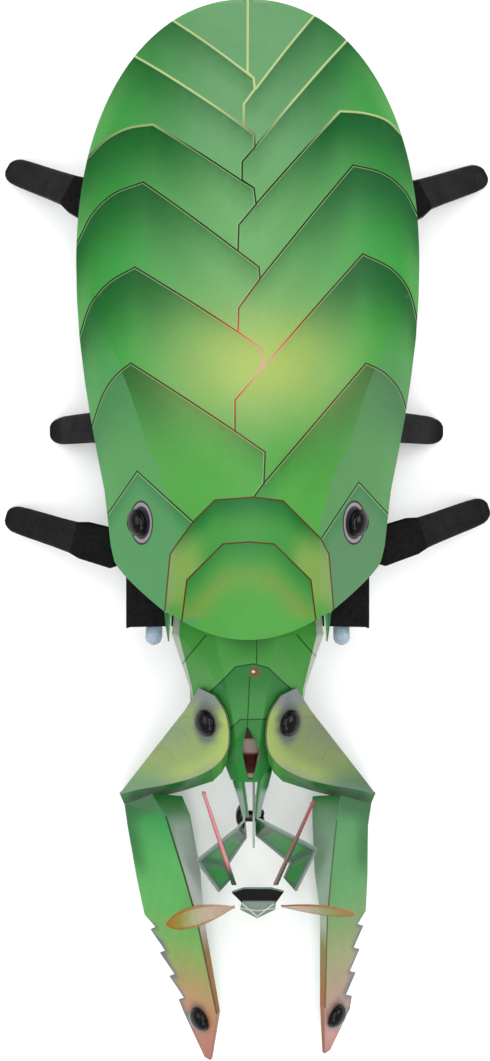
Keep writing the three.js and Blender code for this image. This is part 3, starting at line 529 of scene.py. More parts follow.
def crease_path(side):
    ys = np.linspace(SHELL_FRONT + FRONT_BOW, CREASE_START - 1.5, 46)
    return [(side * min(crease_width_at(y), shell_half_width(y) - HEM), y) for y in ys]


# ---------------------------------------------------------------- carapace print
# the zigzag seam down the back, from tail to head
SEAM = [(0.1, 142), (0.0, 118.3), (1.5, 116.7), (1.8, 113.6), (-0.9, 109.6), (-0.9, 104.2), (1.7, 101.6),
        (1.7, 98.3), (-1.4, 94.5), (-1.4, 89.9), (1.5, 87.9), (2.0, 83.9), (-2.2, 78.7), (-2.4, 72.3),
        (2.7, 68.4), (2.9, 65.5), (-2.2, 58.4), (-2.4, 52.6), (3.4, 48.5), (3.4, 43.7), (-3.1, 36.2),
        (-3.1, 28.7), (4.2, 23.6), (3.9, 16.1), (1.5, 12.9)]
# back scales: the curved part from the shell's edge to the peak, then the straight part to the seam
LEFT_SCALES = [
    ([(-17.4, 132.9)], [(1.5, 116.7)]),
    ([(-28.1, 124.6)], [(1.7, 101.6)]),
    ([(-40.6, 98.6), (-35.9, 102.7), (-30.1, 105.0), (-23.5, 105.3)], [(-1.7, 89.9), (1.5, 87.9)]),
    ([(-42.8, 77.5), (-39.0, 83.9), (-33.5, 88.3), (-25.8, 90.5)], [(-2.4, 72.3), (2.7, 68.4)]),
    ([(-42.4, 54.2), (-39.5, 61.1), (-34.7, 66.1), (-27.8, 69.4)], [(-2.4, 52.6), (3.4, 48.5)]),
    ([(-39.4, 32.0), (-36.6, 38.4), (-33.2, 42.7), (-28.8, 45.8)], [(-3.1, 28.7), (4.2, 23.6)]),
]
RIGHT_SCALES = [
    ([(16.0, 134.3)], [(1.8, 113.6)]),
    ([(24.7, 128.5)], [(1.7, 98.3)]),
    ([(39.7, 103.9), (35.3, 107.8), (29.6, 109.0), (22.9, 108.8)], [(2.0, 83.9)]),
    ([(43.1, 83.6), (39.5, 89.9), (33.7, 93.7), (26.0, 94.9)], [(2.9, 65.5)]),
    ([(42.7, 58.2), (40.5, 65.0), (35.9, 69.7), (28.3, 72.7)], [(3.4, 43.7)]),
    ([(40.6, 34.8), (38.4, 39.8), (34.4, 43.6), (29.1, 45.8)], [(3.9, 16.1)]),
]
OUTER_ARCH = [(-20.9, -17.5), (-19.2, -1.2), (-13.4, 6.7), (-8.0, 12.0), (1.5, 12.7), (8.6, 11.8),
              (18.0, 2.5),
              (20.1, -1.2), (21.7, -17.5)]
INNER_ARCH = [(-16.6, -19.5), (-15.0, -7.6), (-6.1, 1.3), (0.3, 1.8), (6.4, 1.3), (15.5, -7.6), (17.2, -20)]
LEFT_BROW = [(-37.5, 7.2), (-27.6, 19.4), (-13.4, 6.7)]
RIGHT_BROW = [(38, 7.2), (27.8, 16.7), (18.0, 2.5)]
LAMP = np.array((3.0, 45.0))  # place on the shell over the amber lamp
EYE_PLACES = {side: sum(corner_mm(f"{name}_eye_rivet"), Vector()) / 2 for name, side in SIDES.items()}
EYE_SQUEEZE = 0.56  # width over height of the eye prints in plan, because the side panels slope
EYE_RADII = (5.6, 5.1, 4.2)

LINE_WIDTH = 0.38
GLINT_WIDTH = 0.2
GLINT_OFFSET = 0.3

# glow, line_red and line_hot are painted light: the amber lamp's glow through the shell. line_warm is the
# arch lines' print and also a painted warm glow near the lamp
INK = {
    "dark": printed("#00682c"), "dark_right": printed("#0e6530"), "mid": printed("#4a9c47"),
    "centre": printed("#72b06c"), "rear": printed("#75ad78"), "edge": printed("#43a548"),
    "rim": printed("#6db565"),
    "glow": printed("#bccf6a"), "front": printed("#58aa4c"), "arch_dark": printed("#1c7034"),
    "arch_side": printed("#86ac57"), "inner_warm": printed("#84a24c"), "line_dark": printed("#0c3416"),
    "line_pale": printed("#cfdc9a"), "line_warm": printed("#6e3a1c"), "line_red": printed("#dc4a34"),
    "line_hot": printed("#f6c8c0"), "glint": printed("#a9cf8c"), "brow": printed("#3f8a50"),
    "panel": printed("#55a25f"), "panel_right": printed("#5c9361"), "eye_rim": printed("#26282c"),
    "eye_ring": printed("#a99aa2"), "eye_well": printed("#3a3b40"),
}


def scale_line(scale, stretch=4.0):
    """A scale's whole line, carried past the shell's edge so that it prints to the rim."""
    curve, straight = scale
    path = smooth_path(curve) if len(curve) > 1 else list(curve)
    if len(path) > 1:
        start, then = np.array(path[0]), np.array(path[1])
    else:
        start, then = np.array(path[0]), np.array(straight[0])
    way = (start - then) / np.linalg.norm(start - then)
    return subdivide([tuple(start + way * stretch)] + path + list(straight), 2.0)


LEFT_LINES = [scale_line(scale) for scale in LEFT_SCALES]
RIGHT_LINES = [scale_line(scale) for scale in RIGHT_SCALES]
SCALE_PEAKS = {LEFT: (24, 26, 23.5, 25.8, 27.8, 28.8), RIGHT: (20, 24, 22.9, 26.0, 28.3, 29.1)}


def seam_x(y):
    places = SEAM[::-1]
    return float(np.interp(y, [p[1] for p in places], [p[0] for p in places]))


def lamp_glow(x, y, reach=12.5, stretch=1.5):
    """Share of the amber lamp's glow at a place, painted into the shell's ink as light; it spreads further
    across the back than along it.
    """
    return math.exp(-(((x - LAMP[0]) / stretch) ** 2 + (y - LAMP[1]) ** 2) / reach ** 2)


def drop_at(x, y):
    """Distance down the back from the scale line above a place."""
    lines = LEFT_LINES if x < seam_x(y) else RIGHT_LINES
    drops = [value_on(path, x) - y for path in lines]
    return min([drop for drop in drops if drop > 0], default=40)


def back_ink(x, y):
    """Ink of the back's overlapping scales: dark under each scale's peak, fading towards the next."""
    side = LEFT if x < seam_x(y) else RIGHT
    lines = LEFT_LINES if side == LEFT else RIGHT_LINES
    under = -1
    drop = 0.0
    for number, path in enumerate(lines):
        level = value_on(path, x)
        if y < level:
            under = number
            drop = level - y
    # paler down the middle (centre) than towards the sides (edge): partly the print's own greens, partly
    # painted reflection of the overhead light along the crown
    base = mix(mix(INK["centre"], INK["rear"], ease(80, 105, y)), INK["edge"], ease(8, 34, abs(x)))
    base = mix(base, INK["front"], ease(44, 18, y))
    rim = ease(5, 1, shell_half_width(y) - abs(x))
    base = mix(base, INK["rim"], 0.7 * rim * ease(0, 12, drop_at(x, y)))
    if under >= 0:
        peak = SCALE_PEAKS[side][under]
        weight = ease(peak - 20, peak - 1, abs(x)) * (1 - ease(0, 23, drop)) * (1.0 if under > 1 else 0.75)
        dark = INK["dark"] if side == LEFT else INK["dark_right"]
        base = mix(base, dark, weight)
        base = mix(base, dark, (1 - ease(0, 10, drop)) * 0.42)
        base = mix(base, INK["line_dark"], (1 - ease(0.1, 1.3, drop)) * 0.35)
        streak = 0.5 + 0.5 * math.sin(1.9 * x + 0.7 * math.sin(0.31 * x))
        base = base * (1 + 0.06 * (streak - 0.5) * (1 - ease(2, 18, drop)))
    # painted light: the amber lamp's glow through the shell, mixed into the ink as a pale yellow-green pool
    return mix(base, INK["glow"], 0.85 * lamp_glow(x, y))


def shell_ink(x, y, z, line):
    side = LEFT if x < 0 else RIGHT
    eye = EYE_PLACES[side]
    radius = math.hypot((x - eye.x) / EYE_SQUEEZE, y - eye.y)
    if radius < EYE_RADII[0]:
        if radius > EYE_RADII[1]:
            return opaque(INK["eye_rim"])
        if radius > EYE_RADII[2]:
            return opaque(INK["eye_ring"])
        return opaque(INK["eye_well"])
    if line >= 0:
        return opaque(line_ink(x, y, SHELL_STRIPS[line][2]))
    in_arch = inside(OUTER_ARCH, x, y)
    if in_arch and inside(INNER_ARCH, x, y):
        level = value_on(INNER_ARCH[1:-1], x) - y
        warm = mix(INK["arch_dark"], INK["mid"], 0.35 + 0.65 * ease(-2, 6, level))
        warm = mix(warm, INK["inner_warm"], 0.8 * ease(3, 11, level))
        return opaque(mix(warm, INK["front"], ease(9, 17, level + 0.25 * (12 - abs(x)))))
    if in_arch:
        level = value_on(OUTER_ARCH[1:-1], x) - y
        green = mix(INK["arch_dark"], INK["mid"], ease(-1, 8, level))
        green = mix(green, INK["arch_side"], ease(9, 14, abs(x)) * ease(7, -4, y) * ease(-19, -10, y))
        return opaque(mix(green, INK["front"], ease(-12, -19, y)))
    brow = LEFT_BROW if x < 0 else RIGHT_BROW
    if abs(brow[-1][0]) < abs(x) and y < value_on(brow, x):
        level = value_on(brow, x) - y
        panel = INK["panel"] if x < 0 else INK["panel_right"]
        return opaque(mix(INK["brow"], panel, ease(0, 6, level)))
    colour = back_ink(x, y)
    if y < CREASE_START and abs(x) > crease_width_at(y):
        panel = INK["panel"] if x < 0 else INK["panel_right"]
        colour = mix(colour, panel, 0.55 * ease(55, 40, y))
    return opaque(colour)


def line_ink(x, y, kind):
    pale = ease(96, 112, y)
    glow = lamp_glow(x, y, 6, 1)
    if kind == "glint":
        return mix(mix(back_ink(x, y), INK["glint"], 0.55), INK["line_pale"], pale * 0.4)
    colour = mix(INK["line_dark"], INK["line_pale"], pale)
    if kind == "arch":
        colour = mix(INK["line_warm"], INK["line_dark"], 0.35)
    # painted light: near the amber lamp the lines turn warm brown, red and then pinkish white, as its glow
    # through the shell
    colour = mix(colour, INK["line_warm"], 0.5 * lamp_glow(x, y, 26, 1))
    colour = mix(colour, INK["line_red"], min(1, 1.4 * lamp_glow(x, y, 12, 1)))
    return mix(colour, INK["line_hot"], glow * 0.6)


def shell_strips():
    """Every printed line of the carapace as (path, width, kind), glints before the dark lines over them."""
    dark = [(path, "scale") for path in LEFT_LINES + RIGHT_LINES]
    dark.append((subdivide(SEAM, 2.0), "scale"))
    dark += [(subdivide(path, 2.0), "scale") for path in (LEFT_BROW, RIGHT_BROW)]
    dark += [(subdivide(path, 2.0), "arch") for path in (OUTER_ARCH, INNER_ARCH)]
    strips = []
    for path, kind in dark:
        if kind == "scale":
            way = -1 if path[-1][0] > path[0][0] else 1
            strips.append((offset_path(path, way * GLINT_OFFSET), GLINT_WIDTH, "glint"))
    strips += [(path, LINE_WIDTH, kind) for path, kind in dark]
    return strips


SHELL_STRIPS = shell_strips()


def add_carapace(materials):
    rings = [ellipse((eye.x, eye.y), radius * EYE_SQUEEZE, radius)
             for eye in EYE_PLACES.values() for radius in EYE_RADII]
    shell = printed_sheet("carapace_sheet", shell_outline(), shell_height, shell_ink, materials,
                          strips=[(path, width) for path, width, _ in SHELL_STRIPS], rings=rings,
                          folds=[crease_path(side) for side in (LEFT, RIGHT)], grid=2.0)
    settle(shell, "chassis", "printed_shell", "carapace")


# ---------------------------------------------------------------- ruled sheets over rows of points
def height_over(rows):
    """Height function of a sheet given as rows of points, level with the nearest panel outside it."""
    panels = []
    for upper, lower in zip(rows, rows[1:]):
        for a, b, c, d in zip(upper, upper[1:], lower[1:], lower):
            panels += [(a, b, c), (a, c, d)]
    corners = np.array(panels, float)
    first, along, across = corners[:, 0], corners[:, 1] - corners[:, 0], corners[:, 2] - corners[:, 0]
    area = along[:, 0] * across[:, 1] - along[:, 1] * across[:, 0]
    usable = np.abs(area) > 1e-6
    first, along, across, area = first[usable], along[usable], across[usable], area[usable]

    def height(x, y):
        away_x, away_y = x - first[:, 0], y - first[:, 1]
        u = (away_x * across[:, 1] - away_y * across[:, 0]) / area
        v = (along[:, 0] * away_y - along[:, 1] * away_x) / area
        outside = np.maximum(0, -np.minimum(np.minimum(u, v), 1 - u - v)) * np.sqrt(np.abs(area))
        best = int(np.argmin(outside))
        return float(first[best, 2] + u[best] * along[best, 2] + v[best] * across[best, 2])

    return height


def rows_outline(rows):
    """Plan outline of rows of points, anticlockwise."""
    loop = [p[:2] for p in rows[0]] + [row[-1][:2] for row in rows[1:]]
    loop += [p[:2] for p in reversed(rows[-1][:-1])] + [row[0][:2] for row in reversed(rows[1:-1])]
    loop = [tuple(map(float, p)) for p in loop]
    size = sum(x0 * y1 - x1 * y0 for (x0, y0), (x1, y1) in zip(loop, loop[1:] + loop[:1]))
    return loop if size > 0 else loop[::-1]


def column(rows, index):
    return [tuple(row[index][:2]) for row in rows]


# ---------------------------------------------------------------- neck
SHOULDER = (10.4, -44.2, 41)
ARM_SLOPE = (1.1, 0.25)
STEM_HOLE = 1.8
# y, half width of the ridge, its height, half width of the fold, its height, flap half width, its height
NECK_ROWS = [(-11, 8, 51.2, 16.4, 46.5, 18.2, 36), (-22, 8, 50, 17.4, 43, 19.6, 34),
             (-36, 5, 47.2, 14.2, 37.1, 15, 32),
             (-44.2, 3.5, 46.8, 13.6, 35.7, 14, 31), (-48, 3, 46.4, 13, 35.4, 13.3, 31),
             (-54, 2.6, 41, 6.4, 35, 6.9, 29),
             (-60, 2.2, 36, 4.4, 31, 4.7, 26)]
NECK_GAP = [(-0.2, -44.4), (3.4, -51.4), (2.0, -56), (1.3, -59.2), (0.2, -59.2), (-0.6, -56), (-1.5, -51)]
NECK_HOLE = ((1.4, -30.8), 0.5)
NECK_LINES = [
    ([(-10.4, -21.5), (-15.0, -27.2), (-17, -30)], 0.34),
    ([(12.2, -21.5), (16.8, -26.9), (18.5, -29)], 0.34),
    ([(2.2, -18), (2.2, -28.7)], 0.3),
    ([(-13.5, -40.4), (-9.9, -36.7), (-3.1, -29.5), (1.4, -28.7), (5.1, -29.7), (10.8, -35.5),
      (14, -39)], 0.34),
    ([(0.5, -31.9), (-0.1, -44.2)], 0.32),
    ([(-8.4, -50), (-4.8, -45.6), (-1.9, -42.8), (5.3, -42.7), (7.0, -44.2), (10.5, -48.5)], 0.34),
]
NECK_INK = {"flap": printed("#aab8a0"), "flap_low": printed("#869c7c"), "side": printed("#3f9038"),
            "side_low": printed("#529c4a"), "hex": printed("#2f7a3c"), "hex_low": printed("#438f44"),
            "chin": printed("#357f3a"), "chin_low": printed("#2d8a3c"), "shade": printed("#1f6a24"),
            "line": printed("#1c4a22"), "burn": printed("#8a3a22")}


def neck_rows():
    rows = []
    for y, ridge, ridge_z, fold, fold_z, flap, flap_z in NECK_ROWS:
        half = [(flap, y, flap_z), (fold, y, fold_z), (ridge, y, ridge_z)]
        rows.append([(-x, y, z) for x, y, z in half] + half[::-1])
    return rows


def neck_ink(x, y, z, line):
    if math.dist((x, y), NECK_HOLE[0]) < NECK_HOLE[1] + 0.25 and line < 0:
        return opaque(NECK_INK["burn"])
    if line >= 0:
        return opaque(NECK_INK["line"])
    fold = float(np.interp(-y, [-row[0] for row in NECK_ROWS], [row[3] for row in NECK_ROWS]))
    if abs(x) > fold:
        return opaque(mix(NECK_INK["flap"], NECK_INK["flap_low"], ease(-30, -46, y)))
    chin = value_on(NECK_LINES[5][0], x)
    hexagon = value_on(NECK_LINES[3][0], x)
    collar = value_on(NECK_LINES[0][0] if x < 0 else NECK_LINES[1][0], x)
    if y < chin:
        return opaque(mix(NECK_INK["chin"], NECK_INK["chin_low"], ease(chin, chin - 12, y)))
    if y < hexagon:
        return opaque(mix(NECK_INK["hex"], NECK_INK["hex_low"], ease(hexagon, hexagon - 13, y)))
    # painted shade: the neck's sides are darker at the top, and darker still near the middle there, under
    # the carapace's front edge
    side = mix(NECK_INK["side"], NECK_INK["side_low"], ease(-22, -34, y))
    side = mix(side, NECK_INK["shade"], 0.75 * (1 - ease(0, 9, abs(x - 1))) * ease(-30, -22, y))
    if abs(x) > abs(collar) and y > collar:
        side = mix(side, NECK_INK["chin"], 0.3)
    return opaque(side)


def add_neck(materials):
    rows = neck_rows()
    holes = [ellipse((side * SHOULDER[0], SHOULDER[1]), STEM_HOLE, STEM_HOLE, 24) for side in (LEFT, RIGHT)]
    holes += [ellipse(NECK_HOLE[0], NECK_HOLE[1], NECK_HOLE[1], 12), NECK_GAP]
    folds = [column(rows, i) for i in (1, 2, 3, 4)]
    strips = [(subdivide(path, 2), width) for path, width in NECK_LINES]
    neck = printed_sheet("neck_sheet", rows_outline(rows), height_over(rows), neck_ink, materials,
                         strips=strips, folds=folds, holes=holes, grid=1.8, fold_angle=9)
    settle(neck, "chassis", "printed_shell", "neck")


# ---------------------------------------------------------------- shoulder leaves
LEAF = [(12.4, -35.4), (8.4, -37), (5.8, -41), (4.8, -46), (5.4, -51), (8, -55), (12.6, -58.4), (18, -61),
        (24, -63.2), (29.5, -65), (35, -67.2), (25.7, -54.5), (16.2, -41.6)]
LEAF_INNER = 9  # number of leaf points along the curved inner edge
# the right leaf's inks are darker and greyer copies of the left's: painted shade, as the right leaf lies in
# more shade
LEAF_INK = {
    LEFT: {"edge": printed("#b4cc72"), "middle": printed("#9bb26e"), "tip": printed("#8a9690"),
           "elbow": printed("#7aa673"), "ripple": printed("#7f9a5c"), "halo": printed("#6b7276"),
           "outer": printed("#8fa57e"), "line": printed("#3c5230"), "under": printed("#3f9a3a")},
    RIGHT: {"edge": printed("#a9c06a"), "middle": printed("#8a9c62"), "tip": printed("#878e90"),
            "elbow": printed("#547e56"), "ripple": printed("#73845a"), "halo": printed("#696f72"),
            "outer": printed("#7f8f6a"), "line": printed("#35482c"), "under": printed("#2f7d33")},
}
HALO = (3.1, 5.6)  # half width in plan and half height of the printed ring round a shoulder rivet


def leaf_height(side):
    return lambda x, y: (SHOULDER[2] - ARM_SLOPE[0] * (side * x - SHOULDER[0])
                         + ARM_SLOPE[1] * (y - SHOULDER[1]))


def rounded_leaf(side):
    inner = smooth_path(LEAF[1:LEAF_INNER + 2], 5)
    outer = subdivide([LEAF[10], LEAF[11], LEAF[12], LEAF[0], LEAF[1]], 2.5)[1:-1]
    path = [(side * x, y) for x, y in inner + outer]
    return path if side == RIGHT else path[::-1]


def leaf_ripples(side):
    """Three small arcs printed across the leaf like ripples on a wing case."""
    arcs = []
    for out, y, size in ((15.6, -46.2, 3.0), (18.2, -50.2, 3.6), (22.2, -55.6, 3.2)):
        arcs.append([(side * (out + size * math.cos(math.radians(a)) * 0.8),
                      y + size * math.sin(math.radians(a)))
                     for a in range(20, 171, 15)])
    return arcs


def leaf_ink(side):
    ink = LEAF_INK[side]
    inner = [(side * x, y) for x, y in smooth_path(LEAF[:LEAF_INNER + 2], 4)]

    def paint(x, y, z, line):
        out = side * x
        if line == 0:
            return opaque(ink["line"])
        if line > 0:
            return opaque(mix(ink["ripple"], ink["middle"], 0.35))
        from_edge = float(distance_to_path(np.array([(x, y)]), inner)[0])
        colour = mix(ink["edge"], ink["middle"], ease(0.5, 6, from_edge))
        colour = mix(colour, ink["outer"], ease(6, 13, from_edge))
        colour = mix(colour, ink["elbow"], ease(-54, -64, y) * ease(14, 26, out))
        colour = mix(colour, ink["tip"], ease(-42.5, -37.5, y))
        colour = mix(colour, ink["tip"], 0.45 * ease(2.4, 0.4, from_edge) * ease(-52, -56, y))
        ring = math.hypot((out - SHOULDER[0]) / HALO[0], (y - SHOULDER[1]) / HALO[1])
        return opaque(mix(colour, ink["halo"], 0.85 * ease(1.2, 0.9, ring)))

    return paint


def add_shoulder(side, name, materials):
    outline = rounded_leaf(side)
    rim = [(side * x, y) for x, y in smooth_path(LEAF[1:LEAF_INNER + 2], 5)]
    rim = offset_path(rim, -side * 0.35)
    strips = [(rim, 0.3)] + [(arc, 0.35) for arc in leaf_ripples(side)]
    hole = ellipse((side * SHOULDER[0], SHOULDER[1]), STEM_HOLE * 0.9, STEM_HOLE, 24)
    thickness = SHEET * 1.02
    leaf = printed_sheet(f"{name}_shoulder_leaf", outline, leaf_height(side), leaf_ink(side), materials,
                         strips=strips, holes=[hole], grid=1.7, thickness=thickness)
    settle(leaf, f"{name}_arm", "printed_arm", f"{name}_shoulder")


# ---------------------------------------------------------------- forearms
# rows of (toothed edge, ridge, inner edge) as distance outward, y and z, from the elbow to the claw
BLADES = {
    LEFT: [((33.6, -70.2, 6.4), (25.2, -65.2, 22.4), (17.6, -66.6, 15)),
           ((32.8, -76, 6.2), (21.8, -71, 22.4), (15.4, -72, 14)),
           ((30.4, -90, 5.6), (16.9, -87, 21.6), (12.7, -87, 14)),
           ((28.2, -100.6, 5), (13.6, -99, 20.8), (11.8, -98.4, 16))],
    RIGHT: [((33.8, -70, 6.4), (24.6, -65.4, 22.4), (17.4, -66.8, 15)),
            ((32.9, -76, 6.2), (23.4, -72, 22.4), (17.4, -73, 14)),
            ((32.8, -90, 5.6), (21.9, -87, 21.6), (18, -87, 14)),
            ((32.4, -99.6, 5), (21, -98.5, 20.8), (19.4, -98, 16))],
}
CLAW_TIPS = {
    LEFT: [((17.4, -127.5, 5), (8.4, -124.5, 18), (7.4, -124.2, 15.4)),
           ((11.8, -139.5, 5.2), (10.2, -139.8, 7.4), (9.6, -139.6, 6.4))],
    RIGHT: [((28, -126.5, 5), (20.5, -122.8, 18), (19.4, -122.6, 15.4)),
            ((22.6, -137.7, 5.2), (21, -138, 7.4), (20.4, -137.8, 6.4))],
}
CLAW_RIVETS = {LEFT: (12.6, -127.3), RIGHT: (23.7, -126.4)}
TOOTH_COUNT = 4
TOOTH_PITCH = 6.4
TOOTH_INSET = 1.955
FOREARM_INK = {
    LEFT: [(-66, "#0f7a34"), (-74, "#2fa04a"), (-84, "#58b55c"), (-96, "#63b860"), (-104, "#74b45c"),
           (-111, "#93ac5a"), (-118, "#b39e62"), (-125, "#c9936e"), (-133, "#c4836c"), (-140, "#b06a58")],
    RIGHT: [(-66, "#2f8044"), (-74, "#4f9c57"), (-84, "#5aa262"), (-94, "#68ab66"), (-103, "#8aa56c"),
            (-110, "#a3a878"), (-117, "#b09e80"), (-124, "#c09a8a"), (-132, "#cc9a90"), (-139, "#b86a5e")],
}
FLAP_INK = {
    LEFT: [(-66, "#2c7a33"), (-70, "#4f9456"), (-74, "#a9c0ae"), (-86, "#c6d2ca"), (-100, "#cfd8d2"),
           (-106, "#9a7c3c"), (-118, "#b0702c"), (-140, "#9c4a3a")],
    RIGHT: [(-66, "#2c7a33"), (-70, "#79a880"), (-76, "#93b898"), (-88, "#a9cbb0"), (-100, "#bcd4c0"),
            (-106, "#8f8a34"), (-118, "#b0702c"), (-139, "#8f3a2c")],
}
ARM_LINE = {LEFT: printed("#5c4a1c"), RIGHT: printed("#6c5a24")}
TOOTH_EDGE = printed("#7b7a80")


def between(a, b, share):
    return tuple(p + (q - p) * share for p, q in zip(a, b))


def forearm_rows(side):
    """The CAD's rows: a straight blade, four teeth, a taper and the claw's end."""
    rows = list(BLADES[side])
    edge, ridge, inner = rows[-1]
    tip_edge, tip_ridge, tip_inner = CLAW_TIPS[side][0]
    reach = edge[1] - tip_edge[1]
    sink = (ridge[2] - edge[2]) / (edge[0] - ridge[0])
    for tooth in range(TOOTH_COUNT):
        share = (3 + tooth * TOOTH_PITCH) / reach
        notch = between(edge, tip_edge, share)
        notch = (notch[0] - TOOTH_INSET, notch[1], notch[2] + TOOTH_INSET * sink)
        rows.append((notch, between(ridge, tip_ridge, share), between(inner, tip_inner, share)))
        share += 1 / reach
        rows.append((between(edge, tip_edge, share), between(ridge, tip_ridge, share),
                     between(inner, tip_inner, share)))
    rows += CLAW_TIPS[side]
    return [[(side * x, y, z) for x, y, z in row] for row in rows]


def gradient(table, y):
    places = [-place for place, _ in table]
    colours = np.array([printed(colour) for _, colour in table])
    return np.array([np.interp(-y, places, colours[:, i]) for i in range(3)])


def forearm_ink(side, rows):
    ridge = column(rows, 1)
    edge = column(rows, 0)
    ridge_y = [-p[1] for p in ridge]
    ridge_x = [side * p[0] for p in ridge]

    def paint(x, y, z, line):
        if line == 0:
            return opaque(ARM_LINE[side] if y < -96 else mix(FLAP_DARK, ARM_LINE[side], ease(-80, -96, y)))
        out = side * x
        if out < np.interp(-y, ridge_y, ridge_x):
            return opaque(gradient(FLAP_INK[side], y))
        from_edge = float(distance_to_path(np.array([(x, y)]), edge)[0])
        if y < -101 and y > -131 and from_edge < 0.75:
            return opaque(TOOTH_EDGE)
        colour = gradient(FOREARM_INK[side], y)
        # painted shade: a darker band along the toothed edge near the elbow, then the leaf's shadow across
        # the forearm's top
        colour = mix(colour, ELBOW_PAINTED_SHADE, 0.7 * ease(5.5, 1.0, from_edge) * ease(-92, -84, y))
        colour = mix(colour, ELBOW_PAINTED_SHADE, ease(-73, -67.5, y + 0.5 * (out - 25)))
        # painted highlight: lighter streaks across the forearm's panel
        streak = 0.5 + 0.5 * math.sin(out * 1.9 + 0.35 * y)
        colour = mix(colour, np.clip(colour * 1.18, 0, 1), 0.35 * streak)
        seat = CLAW_RIVETS[side]
        ring = math.hypot((out - seat[0] - 0.5) / 2.6, (y - seat[1]) / 4.4)
        return opaque(mix(colour, CLAW_HALO, 0.75 * ease(1.25, 0.9, ring)))

    return paint


FLAP_DARK = printed("#2a6b30")
# dark green of the painted shade on the forearm near the elbow
ELBOW_PAINTED_SHADE = printed("#0b6a2e")
CLAW_HALO = printed("#7f6f6c")


def add_forearm(side, name, materials):
    rows = forearm_rows(side)
    seat = CLAW_RIVETS[side]
    hole = ellipse((side * seat[0], seat[1]), 1.1, 1.8, 24)
    ridge = column(rows, 1)
    strips = [(offset_path(ridge[1:-1], 0.18), 0.42)]
    arm = printed_sheet(f"{name}_forearm_sheet", rows_outline(rows), height_over(rows),
                        forearm_ink(side, rows),
                        materials, strips=strips, folds=[ridge], holes=[hole], grid=1.6, fold_angle=11)
    settle(arm, f"{name}_forearm", "printed_arm", f"{name}_forearm")
    return height_over(rows)


# ---------------------------------------------------------------- rivets
RIVET_GAP = 0.3
DOME_RADIUS = 3.5
DOME_HEIGHT = 2.4
STEM_RADIUS = 1.5
PRONG_DEPTH = 1.8


def ring_shape(profile, segments, lobes=0, depth=0.0):
    """Vertices and faces turned about +Z from (radius, height) pairs, optionally lobed like a clover."""
    verts, faces = [], []
    for radius, level in profile:
        for i in range(segments):
            angle = 2 * math.pi * i / segments
            reach = radius * (1 - depth * (0.5 + 0.5 * math.cos(lobes * angle)) ** 4) if lobes else radius
            verts.append((reach * math.cos(angle), reach * math.sin(angle), level))
    for ring in range(len(profile) - 1):
        for i in range(segments):
            a, b = ring * segments + i, ring * segments + (i + 1) % segments
            faces.append((a, b, b + segments, a + segments))
    faces.append(tuple(reversed(range(segments))))
    faces.append(tuple(range((len(profile) - 1) * segments, len(profile) * segments)))
    return verts, faces


def solid_piece(name, shapes, material, turn=None, place=(0, 0, 0), crease=35):
    """One object of several closed shapes in mm, turned by a rotation matrix and moved to a place."""
    verts, faces = [], []
    for points, shape_faces in shapes:
        start = len(verts)
        verts.extend(np.array(points, float).tolist())
        faces.extend(tuple(start + i for i in face) for face in shape_faces)
    spots = np.array(verts)
    if turn is not None:
        spots = spots @ np.array(turn.to_3x3()).T
    spots = (spots + np.array(place)) * MM
    mesh = bpy.data.meshes.new(name)
    mesh.from_pydata(spots.tolist(), [], faces)
    work = bmesh.new()
    work.from_mesh(mesh)
    bmesh.ops.recalc_face_normals(work, faces=work.faces)
    work.to_mesh(mesh)
    work.free()
    mesh.materials.append(material)
    for polygon in mesh.polygons:
        polygon.use_smooth = True
    mesh.set_sharp_from_angle(angle=math.radians(crease))
    return link_object(name, mesh)


def rivet_shapes(grip):
    """A glossy dome with a rim and a stem, and a back of four rounded prongs."""
    dome = [(STEM_RADIUS, -grip - RIVET_GAP), (STEM_RADIUS, RIVET_GAP), (DOME_RADIUS - 0.15, RIVET_GAP),
            (DOME_RADIUS, RIVET_GAP + 0.15), (DOME_RADIUS, RIVET_GAP + 0.4),
            (DOME_RADIUS - 0.12, RIVET_GAP + 0.5)]
    for i in range(1, 9):
        angle = i / 9 * math.pi / 2
        dome.append(((DOME_RADIUS - 0.12) * math.cos(angle),
                     RIVET_GAP + 0.5 + (DOME_HEIGHT - 0.5) * math.sin(angle)))
    shapes = [ring_shape(dome, 40)]
    low = -grip - PRONG_DEPTH
    collar = [(STEM_RADIUS + 0.1, -grip - RIVET_GAP - 0.5), (STEM_RADIUS + 0.5, -grip - RIVET_GAP - 0.2),
              (STEM_RADIUS + 0.4, -grip - RIVET_GAP)]
    shapes.append(ring_shape(collar, 32))
    for corner in range(4):
        angle = (corner + 0.5) * math.pi / 2
        profile = [(0.2, low), (0.62, low + 0.15), (0.9, low + 0.65), (0.86, low + 1.1), (0.55, low + 1.45)]
        verts, faces = ring_shape(profile, 14)
        moved = [(x + 1.15 * math.cos(angle), y + 1.15 * math.sin(angle), z) for x, y, z in verts]
        shapes.append((moved, faces))
    return shapes


def add_rivet(node, body, seat, axis, grip, material):
    turn = Vector(axis).to_track_quat("Z", "Y").to_matrix()
    rivet = solid_piece(f"{node}_moulding", rivet_shapes(grip), material, turn, seat)
    settle(rivet, body, "rivet_black", node)


FOLD_GAP = 1.2
TAB_GAP = 1.8
MOUTH = (1.0, -70.9, 22.0)


